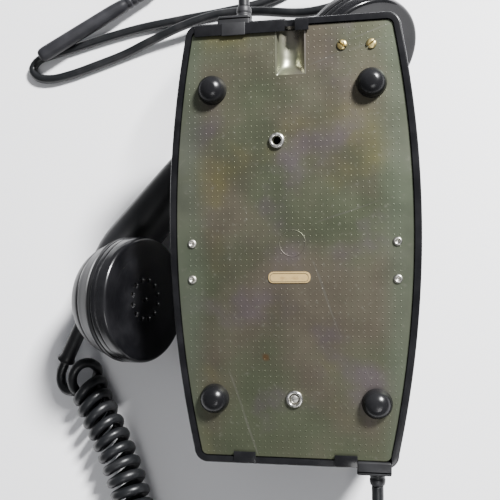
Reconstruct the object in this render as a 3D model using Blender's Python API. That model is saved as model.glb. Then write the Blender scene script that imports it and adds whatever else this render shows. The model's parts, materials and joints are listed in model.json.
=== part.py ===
"""Slimline telephone lying face down on its own handset, as separate closed solids.

Dimensions are in millimetres and degrees, and become metres as each mesh is made.  Three frames
carry everything: the body frame (x across, y towards the top end, z out of the steel base plate),
the front frame (on the sloping front face, z out of the dial) and the handset frame (x from the
mouth end to the ear end, z the way the caps face).
"""

import math

import bmesh
import bpy
from mathutils import Matrix, Vector

MM = 0.001
GAP = 0.3

# Where the object's footprint centre lies, and how the body rests on it.
SITE = (37.5, -16.4, 0.0)
BODY_HEIGHT = 68.02
BODY_TILT = math.radians(12.0)

# Body outline: bowed sides, widest a little above the middle.
TOP_Y = 96.0
BOTTOM_Y = -94.0
HALF_WIDTH = 54.0
WIDEST_Y = 8.0
SIDE_BOW = 1.12e-3
CORNER = 6.0
WALL = 2.8
RIM_RISE = 0.8
DEPTH_BOTTOM = 53.0
DEPTH_TOP = 28.0
PLATE_INSET = 3.1
PLATE_THICKNESS = 1.2

# Dial on the front face.
DIAL_Y = 4.0
WHEEL_RADIUS = 35.0
FINGER_RADIUS = 6.4
FINGER_CIRCLE = 26.0
FINGER_HOLES = 10
FINGER_STEP = math.radians(30.0)
GEAR_TEETH = 40
PINION_TEETH = 10
GEAR_MODULE = 0.7
GOVERNOR_X = GEAR_MODULE * (GEAR_TEETH + PINION_TEETH) / 2
FIRST_HOLE = math.radians(200.0)
STOP_ANGLE = math.radians(140.0)

# Fittings: places on the base plate (body frame) and on the front face (front frame).
PILLAR = (0.4, -66.0)
SLEEVE = (-6.2, 44.0)
LINE_GLAND_X = -21.0
HANDSET_GLAND_X = 34.5
LINE_GLAND_OFFSET = -3.6
HANDSET_GLAND_OFFSET = -1.1
GLAND_Z = -5.0
CHANNEL_Y = (72.0, 90.4)
CHANNEL_RADIUS = 6.6
FOOT_SPOTS = ((-34.4, 66.9), (34.1, 66.6), (-34.4, -66.6), (34.9, -67.1))
FOOT_RADIUS = 6.2
FOOT_RISE = 5.6
RIVET_SPOTS = ((-44.0, 0.3), (-44.0, -15.3), (44.0, 0.3), (44.0, -15.3))
TERMINAL_SPOTS = ((21.9, 83.3), (34.1, 83.0))
LABEL_SPOT = (-1.4, -14.5)
HOOK_X = 13.0
HOOK_Y = -64.0
EAR_WELL_Y = -78.0
MOUTH_WELL_Y = 81.0
CLAPPER_Y = -59.0

# Handset.
HANDSET_ORIGIN = (-75.2, -18.6, 32.63)
HANDSET_HEADING = math.radians(48.8)
HANDSET_ROLL = math.radians(25.0)
EAR_X = 158.5
MOUTH_CANT = math.radians(35.0)
EAR_CANT = math.radians(-12.0)
CAP_RADIUS = 30.5
OVAL = 0.8

# Cords.
CORD = 5.0
COIL_OUTER = 19.5
LINE_COIL_CENTRE = (38.0, 232.0)
LINE_COIL_RADIUS = 27.5
COIL_HALF_WIDTH = 6.5
COIL_HALF_HEIGHT = 5.4
COIL_HEIGHT = 5.6
SLEEVE_START = (-113.3, -27.5, 18.7)
SLEEVE_END = (-125.0, -46.8, 10.2)

# Curly cord: a short plain lead from the handset, the coiled length, and a plain lead to the body.
COILED_ROUTE = ((-113.6, -58.6, 9.9), (-108.0, -70.0, 9.9), (-101.0, -82.0, 9.9), (-94.5, -94.0, 9.9),
                (-89.0, -106.0, 9.9), (-84.0, -118.0, 9.9), (-76.0, -134.0, 9.9), (-63.0, -149.0, 9.9),
                (-45.0, -160.0, 9.9), (-25.0, -165.0, 9.9), (-6.0, -163.0, 9.9))
HANDSET_LEAD = ((-125.3, -47.4, 9.9), (-127.0, -51.5, 9.2), (-126.4, -55.0, 9.0),
                (-123.0, -56.6, 9.2), (-119.2, -56.2, 9.7), (-115.4, -56.2, 9.9))
BODY_LEAD = ((-5.6, -162.9, 9.9), (6.0, -160.8, 8.0), (16.0, -156.0, 6.5), (24.0, -149.0, 7.0),
             (30.0, -140.0, 11.0), (33.2, -130.0, 20.0), (34.4, -120.0, 30.5), (34.5, -110.0, 38.5),
             (34.5, -99.1, 41.8))

# Line cord: out of its gland, round a turn above the body, into a long bight on the left, past the
# top end to a tied coil, and back from the coil to the plug that lies over the bight.
LINE_ROUTE = ((-21.0, 103.1, 84.8), (-21.2, 111.0, 86.2), (-22.0, 124.0, 86.0), (-20.0, 142.0, 78.5),
              (-11.0, 159.0, 67.0), (4.0, 168.0, 52.0), (20.0, 166.0, 36.0), (28.0, 156.0, 24.0),
              (22.0, 146.0, 16.0), (0.0, 141.0, 12.0), (-32.0, 145.5, 9.0), (-52.0, 145.5, 8.6),
              (-72.0, 140.5, 8.2), (-92.0, 134.0, 5.0), (-108.0, 128.0, 2.8), (-124.0, 122.5, 2.6),
              (-140.0, 117.5, 2.6), (-152.0, 115.4, 2.6), (-160.5, 117.0, 2.6), (-164.5, 122.0, 2.6),
              (-161.5, 127.6, 2.6), (-153.5, 130.6, 2.6), (-141.0, 133.6, 2.6), (-122.0, 138.8, 2.6),
              (-100.0, 143.8, 2.6), (-76.0, 147.2, 2.6), (-50.0, 150.5, 2.6), (-28.0, 154.5, 2.6),
              (-12.0, 161.5, 2.6), (-3.0, 173.0, 2.6), (0.0, 186.0, 2.6), (0.4, 200.0, 2.6),
              (0.8, 213.0, 2.6), (1.8, 225.0, 2.6))
PLUG_ROUTE = ((46.9, 196.2, 2.9), (30.0, 192.0, 4.0), (14.0, 190.0, 7.6), (2.0, 190.0, 8.6),
              (-10.0, 192.0, 7.6), (-24.0, 193.5, 4.2), (-42.0, 191.0, 2.6), (-62.0, 184.0, 2.6),
              (-78.0, 176.0, 4.0), (-92.0, 167.0, 6.6))
PLUG_END = (-157.5, 126.0, 9.6)

BLACK = ((0.012, 0.012, 0.014), 0.22, 0.0)
RUBBER = ((0.018, 0.018, 0.019), 0.55, 0.0)
CORD_GREY = ((0.028, 0.028, 0.031), 0.42, 0.0)
PLATED = ((0.34, 0.33, 0.25), 0.38, 1.0)
STEEL = ((0.62, 0.62, 0.60), 0.30, 1.0)
BRASS = ((0.72, 0.58, 0.28), 0.32, 1.0)
LABEL = ((0.62, 0.53, 0.33), 0.6, 0.0)
IVORY = ((0.78, 0.75, 0.66), 0.4, 0.0)
BOARD = ((0.30, 0.22, 0.10), 0.6, 0.0)
COPPER = ((0.55, 0.27, 0.13), 0.4, 1.0)


def clear_scene():
    """Remove whatever the scene holds."""
    for item in list(bpy.data.objects):
        bpy.data.objects.remove(item, do_unlink=True)


def material(name, look):
    """Principled material from (colour, roughness, metallic), made once per name."""
    found = bpy.data.materials.get(name)
    if found:
        return found
    colour, roughness, metallic = look
    made = bpy.data.materials.new(name)
    made.use_nodes = True
    shader = made.node_tree.nodes["Principled BSDF"]
    shader.inputs["Base Color"].default_value = (*colour, 1.0)
    shader.inputs["Roughness"].default_value = roughness
    shader.inputs["Metallic"].default_value = metallic
    return made


def empty(name, parent=None, location=(0, 0, 0), rotation=(0, 0, 0)):
    """Frame that other pieces are placed in; location in millimetres."""
    made = bpy.data.objects.new(name, None)
    bpy.context.collection.objects.link(made)
    made.parent = parent
    made.location = Vector(location) * MM
    made.rotation_euler = rotation
    return made


def add_mesh(name, vertices, faces, look, parent, location=(0, 0, 0), rotation=(0, 0, 0)):
    """Object from vertices in millimetres, its faces turned outwards and smooth-shaded."""
    mesh = bpy.data.meshes.new(name)
    mesh.from_pydata([Vector(v) * MM for v in vertices], [], faces)
    work = bmesh.new()
    work.from_mesh(mesh)
    bmesh.ops.recalc_face_normals(work, faces=work.faces)
    work.to_mesh(mesh)
    work.free()
    mesh.shade_smooth()
    mesh.set_sharp_from_angle(angle=math.radians(32))
    made = bpy.data.objects.new(name, mesh)
    bpy.context.collection.objects.link(made)
    made.parent = parent
    made.location = Vector(location) * MM
    made.rotation_euler = rotation
    mesh.materials.append(material(name, look))
    return made


def skin(name, rings, look, parent, **place):
    """Closed solid through equal-length rings of points, capped at both ends."""
    count = len(rings[0])
    vertices = [p for ring in rings for p in ring]
    faces = [tuple(reversed(range(count)))]
    for k in range(len(rings) - 1):
        a, b = k * count, (k + 1) * count
        faces += [(a + i, a + (i + 1) % count, b + (i + 1) % count, b + i) for i in range(count)]
    faces.append(tuple(range((len(rings) - 1) * count, len(rings) * count)))
    return add_mesh(name, vertices, faces, look, parent, **place)


def turned(name, profile, look, parent, segments=24, closed=False, **place):
    """Solid of revolution about z from (radius, z) points.

    An open profile starts and ends on the axis; a closed one is a ring's cross-section.
    """
    vertices, rows = [], []
    for radius, z in profile:
        if radius == 0:
            rows.append([len(vertices)] * segments)
            vertices.append((0, 0, z))
            continue
        rows.append(list(range(len(vertices), len(vertices) + segments)))
        turns = (2 * math.pi * i / segments for i in range(segments))
        vertices += [(radius * math.cos(a), radius * math.sin(a), z) for a in turns]
    pairs = list(zip(rows, rows[1:]))
    if closed:
        pairs.append((rows[-1], rows[0]))
    faces = []
    for low, high in pairs:
        for i in range(segments):
            j = (i + 1) % segments
            corners = dict.fromkeys((low[i], low[j], high[j], high[i]))
            faces.append(tuple(corners))
    return add_mesh(name, vertices, faces, look, parent, **place)


def block(name, size, centre, look, parent, **place):
    """Box by its size and centre."""
    hx, hy, hz = (s / 2 for s in size)
    cx, cy, cz = centre
    ring = [(-hx, -hy), (hx, -hy), (hx, hy), (-hx, hy)]
    rings = [[(cx + x, cy + y, cz + z) for x, y in ring] for z in (-hz, hz)]
    return skin(name, rings, look, parent, **place)


def cutter(made):
    """Mark a solid as a tool for a Boolean: not rendered, drawn as wire."""
    made.hide_render = True
    made.display_type = "WIRE"
    return made


def combine(target, tool, operation="DIFFERENCE"):
    """Boolean of a tool solid with a target solid."""
    step = target.modifiers.new(tool.name, "BOOLEAN")
    step.operation = operation
    step.solver = "EXACT"
    step.object = cutter(tool)


def tube(name, points, radius, look, parent, sides=2):
    """Round tube of constant radius along millimetre points, with filled caps."""
    curve = bpy.data.curves.new(name, "CURVE")
    curve.dimensions = "3D"
    curve.resolution_u = 1
    curve.bevel_depth = radius * MM
    curve.bevel_resolution = sides
    curve.use_fill_caps = True
    line = curve.splines.new("POLY")
    line.points.add(len(points) - 1)
    for spot, point in zip(line.points, points):
        spot.co = (*(Vector(point) * MM), 1.0)
    curve.materials.append(material(name, look))
    made = bpy.data.objects.new(name, curve)
    bpy.context.collection.objects.link(made)
    made.parent = parent
    return made


def smooth_route(points, spacing):
    """Centripetal Catmull-Rom curve through hand-placed points, read about every `spacing` mm."""
    knots = [Vector(p) for p in points]
    knots = [2 * knots[0] - knots[1], *knots, 2 * knots[-1] - knots[-2]]
    fine = []
    for a, b, c, d in zip(knots, knots[1:], knots[2:], knots[3:]):
        t1 = math.sqrt((b - a).length)
        t2 = t1 + math.sqrt((c - b).length)
        t3 = t2 + math.sqrt((d - c).length)
        for k in range(24):
            t = t1 + (t2 - t1) * k / 24
            ab = a.lerp(b, t / t1)
            bc = b.lerp(c, (t - t1) / (t2 - t1))
            cd = c.lerp(d, (t - t2) / (t3 - t2))
            abc = ab.lerp(bc, t / t2)
            bcd = bc.lerp(cd, (t - t1) / (t3 - t1))
            fine.append(abc.lerp(bcd, (t - t1) / (t2 - t1)))
    fine.append(knots[-2])
    total = sum((q - p).length for p, q in zip(fine, fine[1:]))
    count = max(2, round(total / spacing))
    read, walked, target = [fine[0]], 0.0, total / count
    for p, q in zip(fine, fine[1:]):
        step = (q - p).length
        while walked + step >= target and len(read) < count:
            read.append(p.lerp(q, (target - walked) / step))
            target += total / count
        walked += step
    read.append(fine[-1])
    return read


def half_width(y):
    """Half the body's width at height y."""
    return HALF_WIDTH - SIDE_BOW * (y - WIDEST_Y) ** 2


def depth(y):
    """Body depth below the base plate at height y."""
    return DEPTH_BOTTOM - (y - BOTTOM_Y) * (DEPTH_BOTTOM - DEPTH_TOP) / (TOP_Y - BOTTOM_Y)


FRONT_SLOPE = math.atan((DEPTH_BOTTOM - DEPTH_TOP) / (TOP_Y - BOTTOM_Y))


def outline(inset, side_steps=10, corner_steps=4):
    """Body outline moved inwards by `inset`: bowed sides, straight ends, rounded corners."""
    low, high = BOTTOM_Y + inset, TOP_Y - inset
    radius = max(CORNER - inset, 1.0)
    right = []
    x = half_width(low + radius) - inset - radius
    for k in range(corner_steps + 1):
        angle = math.radians(-90 + 90 * k / corner_steps)
        right.append((x + radius * math.cos(angle), low + radius + radius * math.sin(angle)))
    for k in range(1, side_steps):
        y = low + radius + (high - low - 2 * radius) * k / side_steps
        right.append((half_width(y) - inset, y))
    x = half_width(high - radius) - inset - radius
    for k in range(corner_steps + 1):
        angle = math.radians(90 * k / corner_steps)
        right.append((x + radius * math.cos(angle), high - radius + radius * math.sin(angle)))
    return right + [(-x, y) for x, y in reversed(right)]


def wedge_rings(levels):
    """Rings of the wedge body from (inset, share of the depth, extra z) levels."""
    rings = []
    for inset, share, lift in levels:
        rings.append([(x, y, lift - share * depth(y)) for x, y in outline(inset)])
    return rings


def make_housing(body, front):
    """Black moulded shell with its rim, tabs, screw pillar, wells and cut-outs."""
    levels = [(0, 0, RIM_RISE), (0.6, 0, -9), (4.0, 1, 10), (5.2, 1, 4), (7.0, 1, 1.2),
              (10.0, 1, 0)]
    housing = skin("housing", wedge_rings(levels), BLACK, body)
    inner = [(WALL, 0, RIM_RISE + 2), (WALL, 0, -1.5), (WALL + 0.6, 0, -9), (WALL + 4.0, 1, 10),
             (WALL + 5.4, 1, 5), (WALL + 8, 1, WALL)]
    combine(housing, skin("cut_cavity", wedge_rings(inner), BLACK, body))
    tab_z = GAP + 0.5
    for name, x, y, width in (("tab_a", -21.3, -91.2, 9.6), ("tab_b", 21.8, -91.2, 9.6),
                              ("tab_top", -17.0, 92.6, 50.0)):
        tab = block("cut_" + name, (width, 4.4, 1.0), (x, y, tab_z), BLACK, body)
        combine(housing, tab, "UNION")
    pillar_length = depth(PILLAR[1]) - 2.0 - WALL
    pillar = turned("cut_pillar", [(0, -pillar_length), (4, -pillar_length), (4, 0), (1.6, 0),
                                   (1.6, -12), (0, -12)], BLACK, body,
                    segments=16, location=(*PILLAR, -2.0))
    combine(housing, pillar, "UNION")
    for name, x, y in (("line", LINE_GLAND_X + LINE_GLAND_OFFSET, 94.0),
                       ("handset", HANDSET_GLAND_X + HANDSET_GLAND_OFFSET, -92.0)):
        notch = block("cut_notch_" + name, (15.0, 9.0, 14.0), (x, y, -3.0), BLACK, body)
        combine(housing, notch)
    combine(housing, block("cut_hang", (4.4, 12, 5), (0, 95, 1.0), BLACK, body))
    opening = turned("cut_dial", [(0, -8), (32.4, -8), (32.4, 6), (0, 6)], BLACK, front, segments=40)
    combine(housing, opening)
    for name, y in (("ear", EAR_WELL_Y), ("mouth", MOUTH_WELL_Y)):
        well = turned("cut_well_" + name, [(0, -1.3), (31.5, -1.3), (33.5, 3), (0, 3)], BLACK, front,
                      segments=40, location=(0, y, 0))
        combine(housing, well)
    for side in (-1, 1):
        hole = turned("cut_hook_%d" % side, [(0, -8), (3.9, -8), (3.9, 6), (0, 6)], BLACK, front,
                      segments=16, location=(side * HOOK_X, HOOK_Y, 0))
        combine(housing, hole)
    return housing


def make_base_plate(body):
    """Steel plate with the slot for its hanging channel and the holes of its two sleeves."""
    rings = [[(x, y, z) for x, y in outline(PLATE_INSET)] for z in (-PLATE_THICKNESS, 0)]
    plate = skin("base_plate", rings, PLATED, body)
    low, high = CHANNEL_Y
    slot = block("cut_slot", (2 * CHANNEL_RADIUS, high - low + 8, 4), (0, (low + high) / 2 + 4, 0),
                 PLATED, body)
    combine(plate, slot)
    for name, spot, radius in (("sleeve", SLEEVE, 1.7), ("pillar", PILLAR, 1.9)):
        hole = turned("cut_plate_" + name, [(0, -3), (radius, -3), (radius, 2), (0, 2)], PLATED, body,
                      segments=16, location=(*spot, 0))
        combine(plate, hole)
    for k, spot in enumerate(TERMINAL_SPOTS, 1):
        hole = turned("cut_terminal_%d" % k, [(0, -3), (1.5, -3), (1.5, 2), (0, 2)], PLATED, body,
                      segments=12, location=(*spot, 0))
        combine(plate, hole)


def make_channel(body):
    """Half-round pressed trough that a wall hook slides into, closed at its inner end."""
    low, high = CHANNEL_Y
    outer, inner = CHANNEL_RADIUS - GAP, CHANNEL_RADIUS - GAP - 0.8
    steps = 10

    def arc(radius, y, shallow=0.0):
        turns = [math.pi * k / steps for k in range(steps + 1)]
        return [(-radius * math.cos(a), y, -(radius - shallow) * math.sin(a)) for a in turns]

    solid = skin("hanging_channel", [arc(outer, low + GAP, 3.5), arc(outer, low + 5), arc(outer, high)],
                 PLATED, body)
    lifted = [[(x, y, z + 0.6 * (z > -1e-6)) for x, y, z in arc(inner, y, s)]
              for y, s in ((low + 1.2, 3.5), (low + 5, 0.0), (high + 2, 0.0))]
    combine(solid, skin("cut_channel", lifted, PLATED, body))


def make_plate_fittings(body):
    """Feet, sleeves, screws, rivets and the blank label on the outside of the base plate."""
    turns = [math.radians(14 * k) for k in range(6)]
    dome = [(0, GAP), (FOOT_RADIUS, GAP)]
    dome += [(FOOT_RADIUS * math.cos(a), 1.0 + FOOT_RISE * math.sin(a)) for a in turns]
    dome.append((0, 1.0 + FOOT_RISE * math.sin(turns[-1])))
    for k, spot in enumerate(FOOT_SPOTS, 1):
        turned("rubber_foot_%d" % k, dome, RUBBER, body, segments=20, location=(*spot, 0))
    turned("fixing_sleeve", [(1.8, GAP), (3.3, GAP), (3.0, 1.5), (1.8, 1.5)], STEEL, body,
           closed=True, segments=20, location=(*SLEEVE, 0))
    turned("screw_ferrule", [(2.2, GAP), (3.6, GAP), (3.4, 1.3), (2.2, 1.3)], STEEL, body,
           closed=True, segments=20, location=(*PILLAR, 0))
    screw = turned("case_screw", [(0, -12), (1.2, -12), (1.2, GAP), (1.9, GAP), (1.8, 1.0), (0, 1.4)],
                   STEEL, body, segments=16, location=(*PILLAR, 0))
    combine(screw, block("cut_case_slot", (6, 0.7, 1.6), (PILLAR[0], PILLAR[1], 1.6), STEEL, body))
    head = [(0, GAP), (1.9, GAP), (1.7, 0.8), (0.9, 1.1), (0, 1.2)]
    for k, spot in enumerate(RIVET_SPOTS, 1):
        turned("plate_rivet_%d" % k, head, STEEL, body, segments=12, location=(*spot, 0))
    for k, spot in enumerate(TERMINAL_SPOTS, 1):
        head = [(0, -6), (1.2, -6), (1.2, GAP), (2.2, GAP), (2.1, 1.0), (0, 1.1)]
        brass = turned("terminal_screw_%d" % k, head, BRASS, body, segments=14, location=(*spot, 0))
        combine(brass, block("cut_brass_slot_%d" % k, (6, 0.6, 1.2), (0, 0, 1.2), BRASS, body,
                             location=(*spot, 0), rotation=(0, 0, math.radians(-35))))
    block("label_plate", (18.0, 4.8, 0.4), (*LABEL_SPOT, GAP + 0.2), LABEL, body)


def make_gland(name, x, outward, body):
    """Moulded cord gland in its notch: a flanged block with a tapered sleeve pointing outwards."""
    edge = TOP_Y if outward > 0 else -BOTTOM_Y
    offset = LINE_GLAND_OFFSET if outward > 0 else HANDSET_GLAND_OFFSET
    gland = block(name, (14.2, 5.6, 10.0), (x + offset, outward * edge, GLAND_Z + 0.6), RUBBER, body)
    sleeve = turned("cut_" + name, [(0, -2.4), (3.6, -2.4), (3.6, 3.0), (3.0, 8.0), (0, 8.0)], RUBBER, body,
                    segments=14, location=(x, outward * edge, GLAND_Z),
                    rotation=(-outward * math.pi / 2, 0, 0))
    combine(gland, sleeve, "UNION")


def make_works(body):
    """Circuit board, ringer and terminals inside the housing."""
    block("circuit_board", (78, 34, 1.6), (0, -42, -7.0), BOARD, body)
    block("transformer", (24, 18, 16), (-24, -42, -7.8 - GAP - 8), COPPER, body)
    block("capacitor", (26, 12, 12), (23, -42, -7.8 - GAP - 6), IVORY, body)
    block("terminal_block", (26, 9, 9), (28, 82, -6.2 - 4.5), IVORY, body)
    gong = [(2.0, -43.5), (3.5, -43.5), (13.5, -41.5), (15.6, -34.5), (14.6, -34.5), (12.5, -40.5),
            (3.5, -42.4), (2.0, -42.4)]
    for side, name in ((-1, "gong_left"), (1, "gong_right")):
        turned(name, gong, STEEL, body, closed=True, segments=28, location=(side * 19.5, -49, 0))
    block("ringer_coil", (15, 18, 14), (0, -50, -24), COPPER, body)
    hub = empty("clapper_axis", body, (0, CLAPPER_Y, -38.5))
    rod = turned("clapper", [(0, -1.2), (2.2, -1.2), (2.2, 1.2), (0, 1.2)], STEEL, hub, segments=12)
    combine(rod, block("cut_rod", (1.2, 11, 1.2), (0, 6, 0), STEEL, hub), "UNION")
    ball = [(0, -2.4)] + [(2.4 * math.cos(a), 2.4 * math.sin(a))
                          for a in (math.radians(-60 + 30 * k) for k in range(5))] + [(0, 2.4)]
    combine(rod, turned("cut_ball", ball, STEEL, hub, segments=12, location=(0, 11.5, 0)), "UNION")


def gear_rings(teeth, module, low, high):
    """Spur gear outline with slim straight-sided teeth, at two heights."""
    pitch = module * teeth / 2
    root, tip = pitch - 0.95, pitch + 0.55
    shares = ((-0.30, root), (-0.17, tip), (0.17, tip), (0.30, root))
    flat = []
    for k in range(teeth):
        for share, radius in shares:
            angle = 2 * math.pi * (k + share) / teeth
            flat.append((radius * math.cos(angle), radius * math.sin(angle)))
    return [[(x, y, z) for x, y in flat] for z in (low, high)]


def make_dial(front):
    """Rotary dial: fixed can and number plate, turning wheel, shaft, gear and coupled governor."""
    can = [(3.6, -18), (32, -18), (32, GAP), (37.5, GAP), (37.5, 2.0), (30.6, 2.3), (30.6, -16.6),
           (3.6, -16.6)]
    turned("dial_frame", can, BLACK, front, closed=True, segments=40)
    turned("number_plate", [(6, 2.6), (34.6, 2.6), (34.6, 3.4), (6, 3.4)], IVORY, front,
           closed=True, segments=40)
    wheel = turned("finger_wheel", [(0, 5.2), (34.2, 5.2), (WHEEL_RADIUS, 6.0), (34.2, 7.4), (0, 7.4)],
                   BLACK, front, segments=48)
    for k in range(FINGER_HOLES):
        angle = FIRST_HOLE + k * FINGER_STEP
        spot = (FINGER_CIRCLE * math.cos(angle), FINGER_CIRCLE * math.sin(angle), 0)
        hole = turned("cut_finger_%d" % k, [(0, 4), (FINGER_RADIUS, 4), (FINGER_RADIUS, 9), (0, 9)],
                      BLACK, front, segments=20, location=spot)
        combine(wheel, hole)
    turned("wheel_cap", [(0, 7.7), (13.0, 7.7), (12.6, 8.7), (0, 9.2)], STEEL, front, segments=28)
    turned("dial_shaft", [(0, -20), (3.2, -20), (3.2, 4.9), (0, 4.9)], STEEL, front, segments=16)
    gear = skin("main_gear", gear_rings(GEAR_TEETH, GEAR_MODULE, -12, -10), BRASS, front)
    combine(gear, turned("cut_gear", [(0, -14), (3.5, -14), (3.5, -8), (0, -8)], BRASS, front, segments=16))
    turned("return_spring", [(3.5, -9.4), (9.0, -9.4), (9.0, -4.5), (3.5, -4.5)], STEEL, front,
           closed=True, segments=20)
    axis = empty("governor_axis", front, (GOVERNOR_X, 0, 0), (0, 0, math.pi / PINION_TEETH))
    skin("governor_pinion", gear_rings(PINION_TEETH, GEAR_MODULE, -12, -10), BRASS, axis)
    turned("governor_drum", [(0, -9.5), (7.0, -9.5), (7.0, -3.5), (0, -3.5)], BRASS, axis, segments=20)
    block("pulse_contacts", (7, 14, 9), (-22, 0, -11), IVORY, front)
    stop = block("finger_stop", (2.0, 5.0, 6.3), (36.2, 0, 5.75), STEEL, front,
                 rotation=(0, 0, STOP_ANGLE))
    combine(stop, block("cut_stop_tip", (15.2, 3.6, 1.0), (29.6, 0, 8.4), STEEL, front,
                        rotation=(0, 0, STOP_ANGLE)), "UNION")


def make_hook(front):
    """Two sprung plungers in the ear well, their bar, leaf spring and contact stack."""
    plunger = [(0, -10), (4.9, -10), (4.9, -8.5), (3.5, -8.5), (3.5, 6.8), (2.4, 8.5), (0, 9.0)]
    for side, name in ((-1, "hook_plunger_left"), (1, "hook_plunger_right")):
        turned(name, plunger, IVORY, front, segments=16, location=(side * HOOK_X, HOOK_Y, 0))
    block("hook_bar", (36, 7, 2.2), (0, HOOK_Y, -10 - GAP - 1.1), STEEL, front)
    block("hook_leaf_spring", (30, 6, 0.8), (0, HOOK_Y, -21.6), STEEL, front)
    block("contact_stack", (9, 20, 8), (26, HOOK_Y, -13), IVORY, front)


def handle_rings():
    """Oval sections of the handle from the mouth end to the ear end."""
    sections = ((-16, -27, 6, 9), (-8, -31, 9, 12), (6, -35.5, 10.5, 13.5), (25, -37.8, 10, 13),
                (50, -39.3, 9.5, 12.6), (80, -39.8, 9.5, 12.4), (110, -38.8, 9.5, 12.6),
                (132, -35, 10, 13.4), (148, -30, 9.5, 14), (160, -26, 7, 12))
    rings = []
    for x, z, half_z, half_y in sections:
        ring = []
        for k in range(20):
            angle = 2 * math.pi * k / 20
            c, s = math.cos(angle), math.sin(angle)
            across = half_y * math.copysign(abs(c) ** OVAL, c)
            ring.append((x, across, z + half_z * math.copysign(abs(s) ** OVAL, s)))
        rings.append(ring)
    return rings


def make_handset(frame):
    """Handset shell with two threaded cups, their caps and capsules, and the cord sleeve."""
    mouth = empty("mouth_frame", frame, (0, 0, 0), (0, MOUTH_CANT, 0))
    ear = empty("ear_frame", frame, (EAR_X, 0, 0), (0, EAR_CANT, 0))
    shell = skin("handset_shell", handle_rings(), BLACK, frame)
    neck = [(CAP_RADIUS, -9.3), (28.6, -9.3), (28.6, -2.9), (0, -2.9)]
    mouth_back = [(0, -35.4), (9, -34.4), (17, -31.8), (22.6, -28), (25.6, -24), (27.2, -20),
                  (28.7, -16), (30.3, -11.9)]
    ear_back = [(0, -28), (11, -27), (19, -24), (25.5, -19), (29.3, -14.5), (30.4, -11.5)]
    cups = (("mouth", mouth, mouth_back, -17.0), ("ear", ear, ear_back, -14.0))
    for name, where, back, floor in cups:
        combine(shell, turned("cut_cup_" + name, back + neck, BLACK, where, segments=40), "UNION")
        pocket = turned("cut_pocket_" + name, [(0, floor), (26.4, floor), (26.4, 0), (0, 0)], BLACK, where,
                        segments=40)
        combine(shell, pocket)
        cap = [(0, -2.5), (28.9, -2.5), (28.9, -9.0), (CAP_RADIUS, -9.0), (CAP_RADIUS, -1.4), (29.4, 0),
               (27.4, -0.4), (0, -1.2)]
        turned(name + "_cap", cap, BLACK, where, segments=40)
    turned("transmitter_capsule", [(0, -16.6), (24, -16.6), (26.0, -12), (26.0, -3.2), (0, -2.9)],
           STEEL, mouth, segments=28)
    turned("receiver_capsule", [(0, -13.6), (24, -13.6), (26.0, -11), (26.0, -3.2), (0, -2.9)],
           STEEL, ear, segments=28)


def along(start, end):
    """Rotation that turns +z onto the way from start to end."""
    return (Vector(end) - Vector(start)).to_track_quat("Z", "Y").to_euler()


def make_handset_sleeve(site):
    """Flared rubber sleeve where the curly cord enters the mouth end."""
    length = (Vector(SLEEVE_END) - Vector(SLEEVE_START)).length
    profile = [(0, 0), (3.4, 0), (3.7, length - 2), (4.6, length), (0, length)]
    turned("handset_cord_sleeve", profile, RUBBER, site, segments=16, location=SLEEVE_START,
           rotation=along(SLEEVE_START, SLEEVE_END))


def make_curly_cord(site):
    """Handset cord: two plain leads and one tube of the coils' outer diameter."""
    tube("curly_cord_coils", smooth_route(COILED_ROUTE, 7.5), COIL_OUTER / 2, CORD_GREY, site, sides=4)
    tube("curly_cord_handset_lead", smooth_route(HANDSET_LEAD, 3.5), CORD / 2, CORD_GREY, site)
    tube("curly_cord_body_lead", smooth_route(BODY_LEAD, 9), CORD / 2, CORD_GREY, site)


def make_line_cord(site):
    """Line cord on the table, its tied coil, and the slim round plug at its end."""
    tube("line_cord_run", smooth_route(LINE_ROUTE, 11.5), CORD / 2, CORD_GREY, site)
    tube("line_cord_end", smooth_route(PLUG_ROUTE, 12), CORD / 2, CORD_GREY, site)
    turns = [2 * math.pi * (k + 0.5) / 10 for k in range(10)]
    section = [(LINE_COIL_RADIUS + COIL_HALF_WIDTH * math.cos(a),
                COIL_HEIGHT + COIL_HALF_HEIGHT * math.sin(a)) for a in turns]
    turned("line_cord_coil", section, CORD_GREY, site, closed=True, segments=36,
           location=(*LINE_COIL_CENTRE, 0))
    start = Vector(PLUG_ROUTE[-1])
    way = (Vector(PLUG_END) - start).normalized()
    start += way * GAP
    length = (Vector(PLUG_END) - start).length
    profile = [(0, 0), (2.8, 0), (3.4, 8), (3.8, 18), (4.1, 30), (4.1, length - 3),
               (3.2, length - 0.6), (2.4, length), (0, length)]
    turned("line_plug", profile, RUBBER, site, segments=16, location=start,
           rotation=along(start, PLUG_END))


def main():
    """Build the whole telephone."""
    clear_scene()
    site = empty("site", None, SITE)
    body = empty("body_frame", site, (0, 0, BODY_HEIGHT), (BODY_TILT, 0, 0))
    front = empty("front_frame", body, (0, DIAL_Y, -depth(DIAL_Y)), (math.pi + FRONT_SLOPE, 0, 0))
    turn = Matrix.Rotation(HANDSET_HEADING, 3, "Z") @ Matrix.Rotation(math.pi / 2 - HANDSET_ROLL, 3, "X")
    handset = empty("handset_frame", site, HANDSET_ORIGIN, turn.to_euler())
    make_housing(body, front)
    make_base_plate(body)
    make_channel(body)
    make_plate_fittings(body)
    make_gland("line_cord_gland", LINE_GLAND_X, 1, body)
    make_gland("handset_cord_gland", HANDSET_GLAND_X, -1, body)
    make_works(body)
    make_dial(front)
    make_hook(front)
    make_handset(handset)
    make_handset_sleeve(site)
    make_curly_cord(site)
    make_line_cord(site)


main()
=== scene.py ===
"""Finished surfaces of a slimline dial telephone that lies face down on its own handset.

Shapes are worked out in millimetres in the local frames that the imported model's joints give (the
body, its sloping front face, the handset with its two cups) and are carried to metres in the
model's own frame.  Each sub-assembly is a class that builds, dresses and hangs its own pieces.
"""

import json
import logging
import math
from collections.abc import Sequence
from dataclasses import dataclass, field, replace
from enum import Enum

import bmesh
import bpy
import numpy as np
from mathutils import Matrix


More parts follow.
